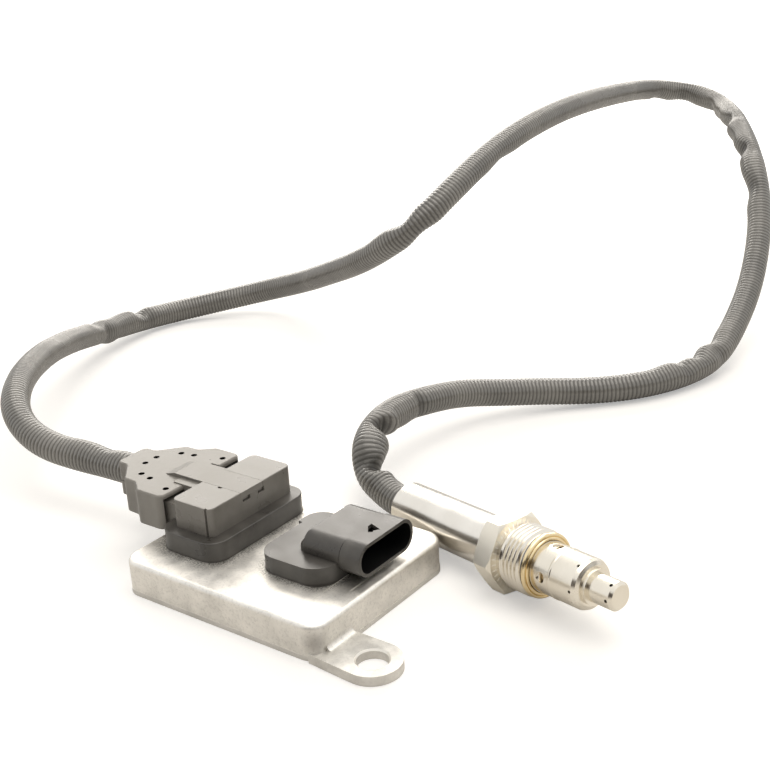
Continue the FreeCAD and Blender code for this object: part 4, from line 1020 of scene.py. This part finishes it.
def thread_rows():
    """Five rows to a turn: root, root, crest, crest, root, at these parts of the pitch."""
    pitch, root, crest = THREAD["pitch"], THREAD["root"], THREAD["crest"]
    start, end = THREAD["start"], THREAD["end"]
    shape = [(0.0, root), (0.12, root), (0.46, crest), (0.60, crest), (0.94, root)]
    rows = []
    for turn in range(-1, int((end - start) / pitch) + 2):
        for phase, radius in shape:
            row = []
            for j in range(THREAD_AROUND + 1):
                t = start + (turn + phase + j / THREAD_AROUND) * pitch
                fade = min(1.0, max(0.0, (t - start) / (FADE_IN * pitch)),
                           max(0.0, (end - t) / (FADE_OUT * pitch)))
                angle = 2 * math.pi * j / THREAD_AROUND
                station = min(max(t, start - RUN_IN), end)
                row.append(about_axis(root + (radius - root) * fade, angle, station))
            rows.append(row)
    return rows


print("thread rows", len(thread_rows()))


# %% [markdown]
# Hexagon, undercut, thread and bore are joined into one closed skin. Points that meet are
# merged, the faces are turned outwards, and the corner directions are weighted by the faces'
# areas, so that the flats of the hexagon look flat beside their small chamfers.

# %% The screw in one skin
SHARP_ANGLE = math.radians(24)


def ring_skin(rings, closed=True):
    """Joins rings or rows of equal length into a skin, one after the other."""
    count = len(rings[0])
    verts = [v for ring in rings for v in ring]
    faces = []
    for i in range(len(rings) - 1):
        for j in range(count if closed else count - 1):
            k = (j + 1) % count
            faces.append((i * count + j, (i + 1) * count + j, (i + 1) * count + k, i * count + k))
    return verts, faces


def weighted(mesh):
    def add_weights(holder):
        modifier = holder.modifiers.new("weights", "WEIGHTED_NORMAL")
        modifier.keep_sharp = True
        modifier.weight = 80

    return evaluated("weighting", mesh, add_weights)


def past_hexagon(centre, normal):
    return (centre - PROBE_AT).dot(ALONG) > HEX_LONG + 0.1 * MM


neck = [(UNDERCUT_R, HEX_LONG), (THREAD["root"], THREAD["start"] - RUN_IN)]
bore = [(THREAD["root"], THREAD["end"]), (BORE, THREAD["end"]), (BORE, 0.0)]
screw_parts = [ring_skin(hexagon_rings()), ring_skin(thread_rows(), closed=False)]
for profile in (neck, bore):
    screw_parts.append(ring_skin([round_ring(radius, t, THREAD_AROUND) for radius, t in profile]))
screw_verts, screw_faces = [], []
for verts, faces in screw_parts:
    offset = len(screw_verts)
    screw_verts += [tuple(v) for v in verts]
    screw_faces += [tuple(i + offset for i in face) for face in faces]
screw_mesh = bpy.data.meshes.new("threaded screw")
screw_mesh.from_pydata(screw_verts, [], screw_faces)
screw_skin = bmesh.new()
screw_skin.from_mesh(screw_mesh)
bmesh.ops.remove_doubles(screw_skin, verts=screw_skin.verts, dist=2 * WELD)
bmesh.ops.dissolve_degenerate(screw_skin, edges=screw_skin.edges, dist=0.1 * WELD)
bmesh.ops.recalc_face_normals(screw_skin, faces=screw_skin.faces)
screw_skin.to_mesh(screw_mesh)
screw_skin.free()
screw_mesh.shade_smooth()
screw_mesh.set_sharp_from_angle(angle=SHARP_ANGLE)
screw = adopt("threaded_screw", weighted(screw_mesh), HEX, "screw", smooth=False)
finish_where(screw, THREAD_STEEL, past_hexagon)
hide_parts("hex_screw")


# %% [markdown]
# Two thin frame lines are printed on the unit's top under the socket, with an empty field
# between them. They are ribbons of pale lacquer, only a few hundredths of a millimetre high.

# %% Frame lines on the unit's top
LACQUER = plastic("pale lacquer", (0.62, 0.60, 0.55), (0.72, 0.70, 0.65), 0.4)
UNIT_TOP = 11.0 * MM
LINES = [((27.3, -19.5), (27.2, -3.0)), ((33.3, -10.0), (33.3, 6.5))]
LINE_WIDE, LINE_HIGH, LINE_SUNK = 0.22 * MM, 0.03 * MM, 0.02 * MM


def lacquer_line(name, a, b):
    """A flat ribbon between two places of the top, given in millimetres."""
    start, end = Vector((*a, 0)) * MM, Vector((*b, 0)) * MM
    along = (end - start).normalized()
    across = Vector((-along.y, along.x, 0)) * LINE_WIDE / 2
    corners = (start - across, end - across, end + across, start + across)
    levels = (Vector((0, 0, UNIT_TOP - LINE_SUNK)), Vector((0, 0, UNIT_TOP + LINE_HIGH)))
    verts = [corner + level for level in levels for corner in corners]
    faces = [(3, 2, 1, 0), (4, 5, 6, 7), (0, 1, 5, 4), (1, 2, 6, 5), (2, 3, 7, 6), (3, 0, 4, 7)]
    return make_piece(name, verts, faces, LACQUER, smooth=False)


for number, (a, b) in enumerate(LINES):
    lacquer_line("frame_line_%d" % (number + 1), a, b)
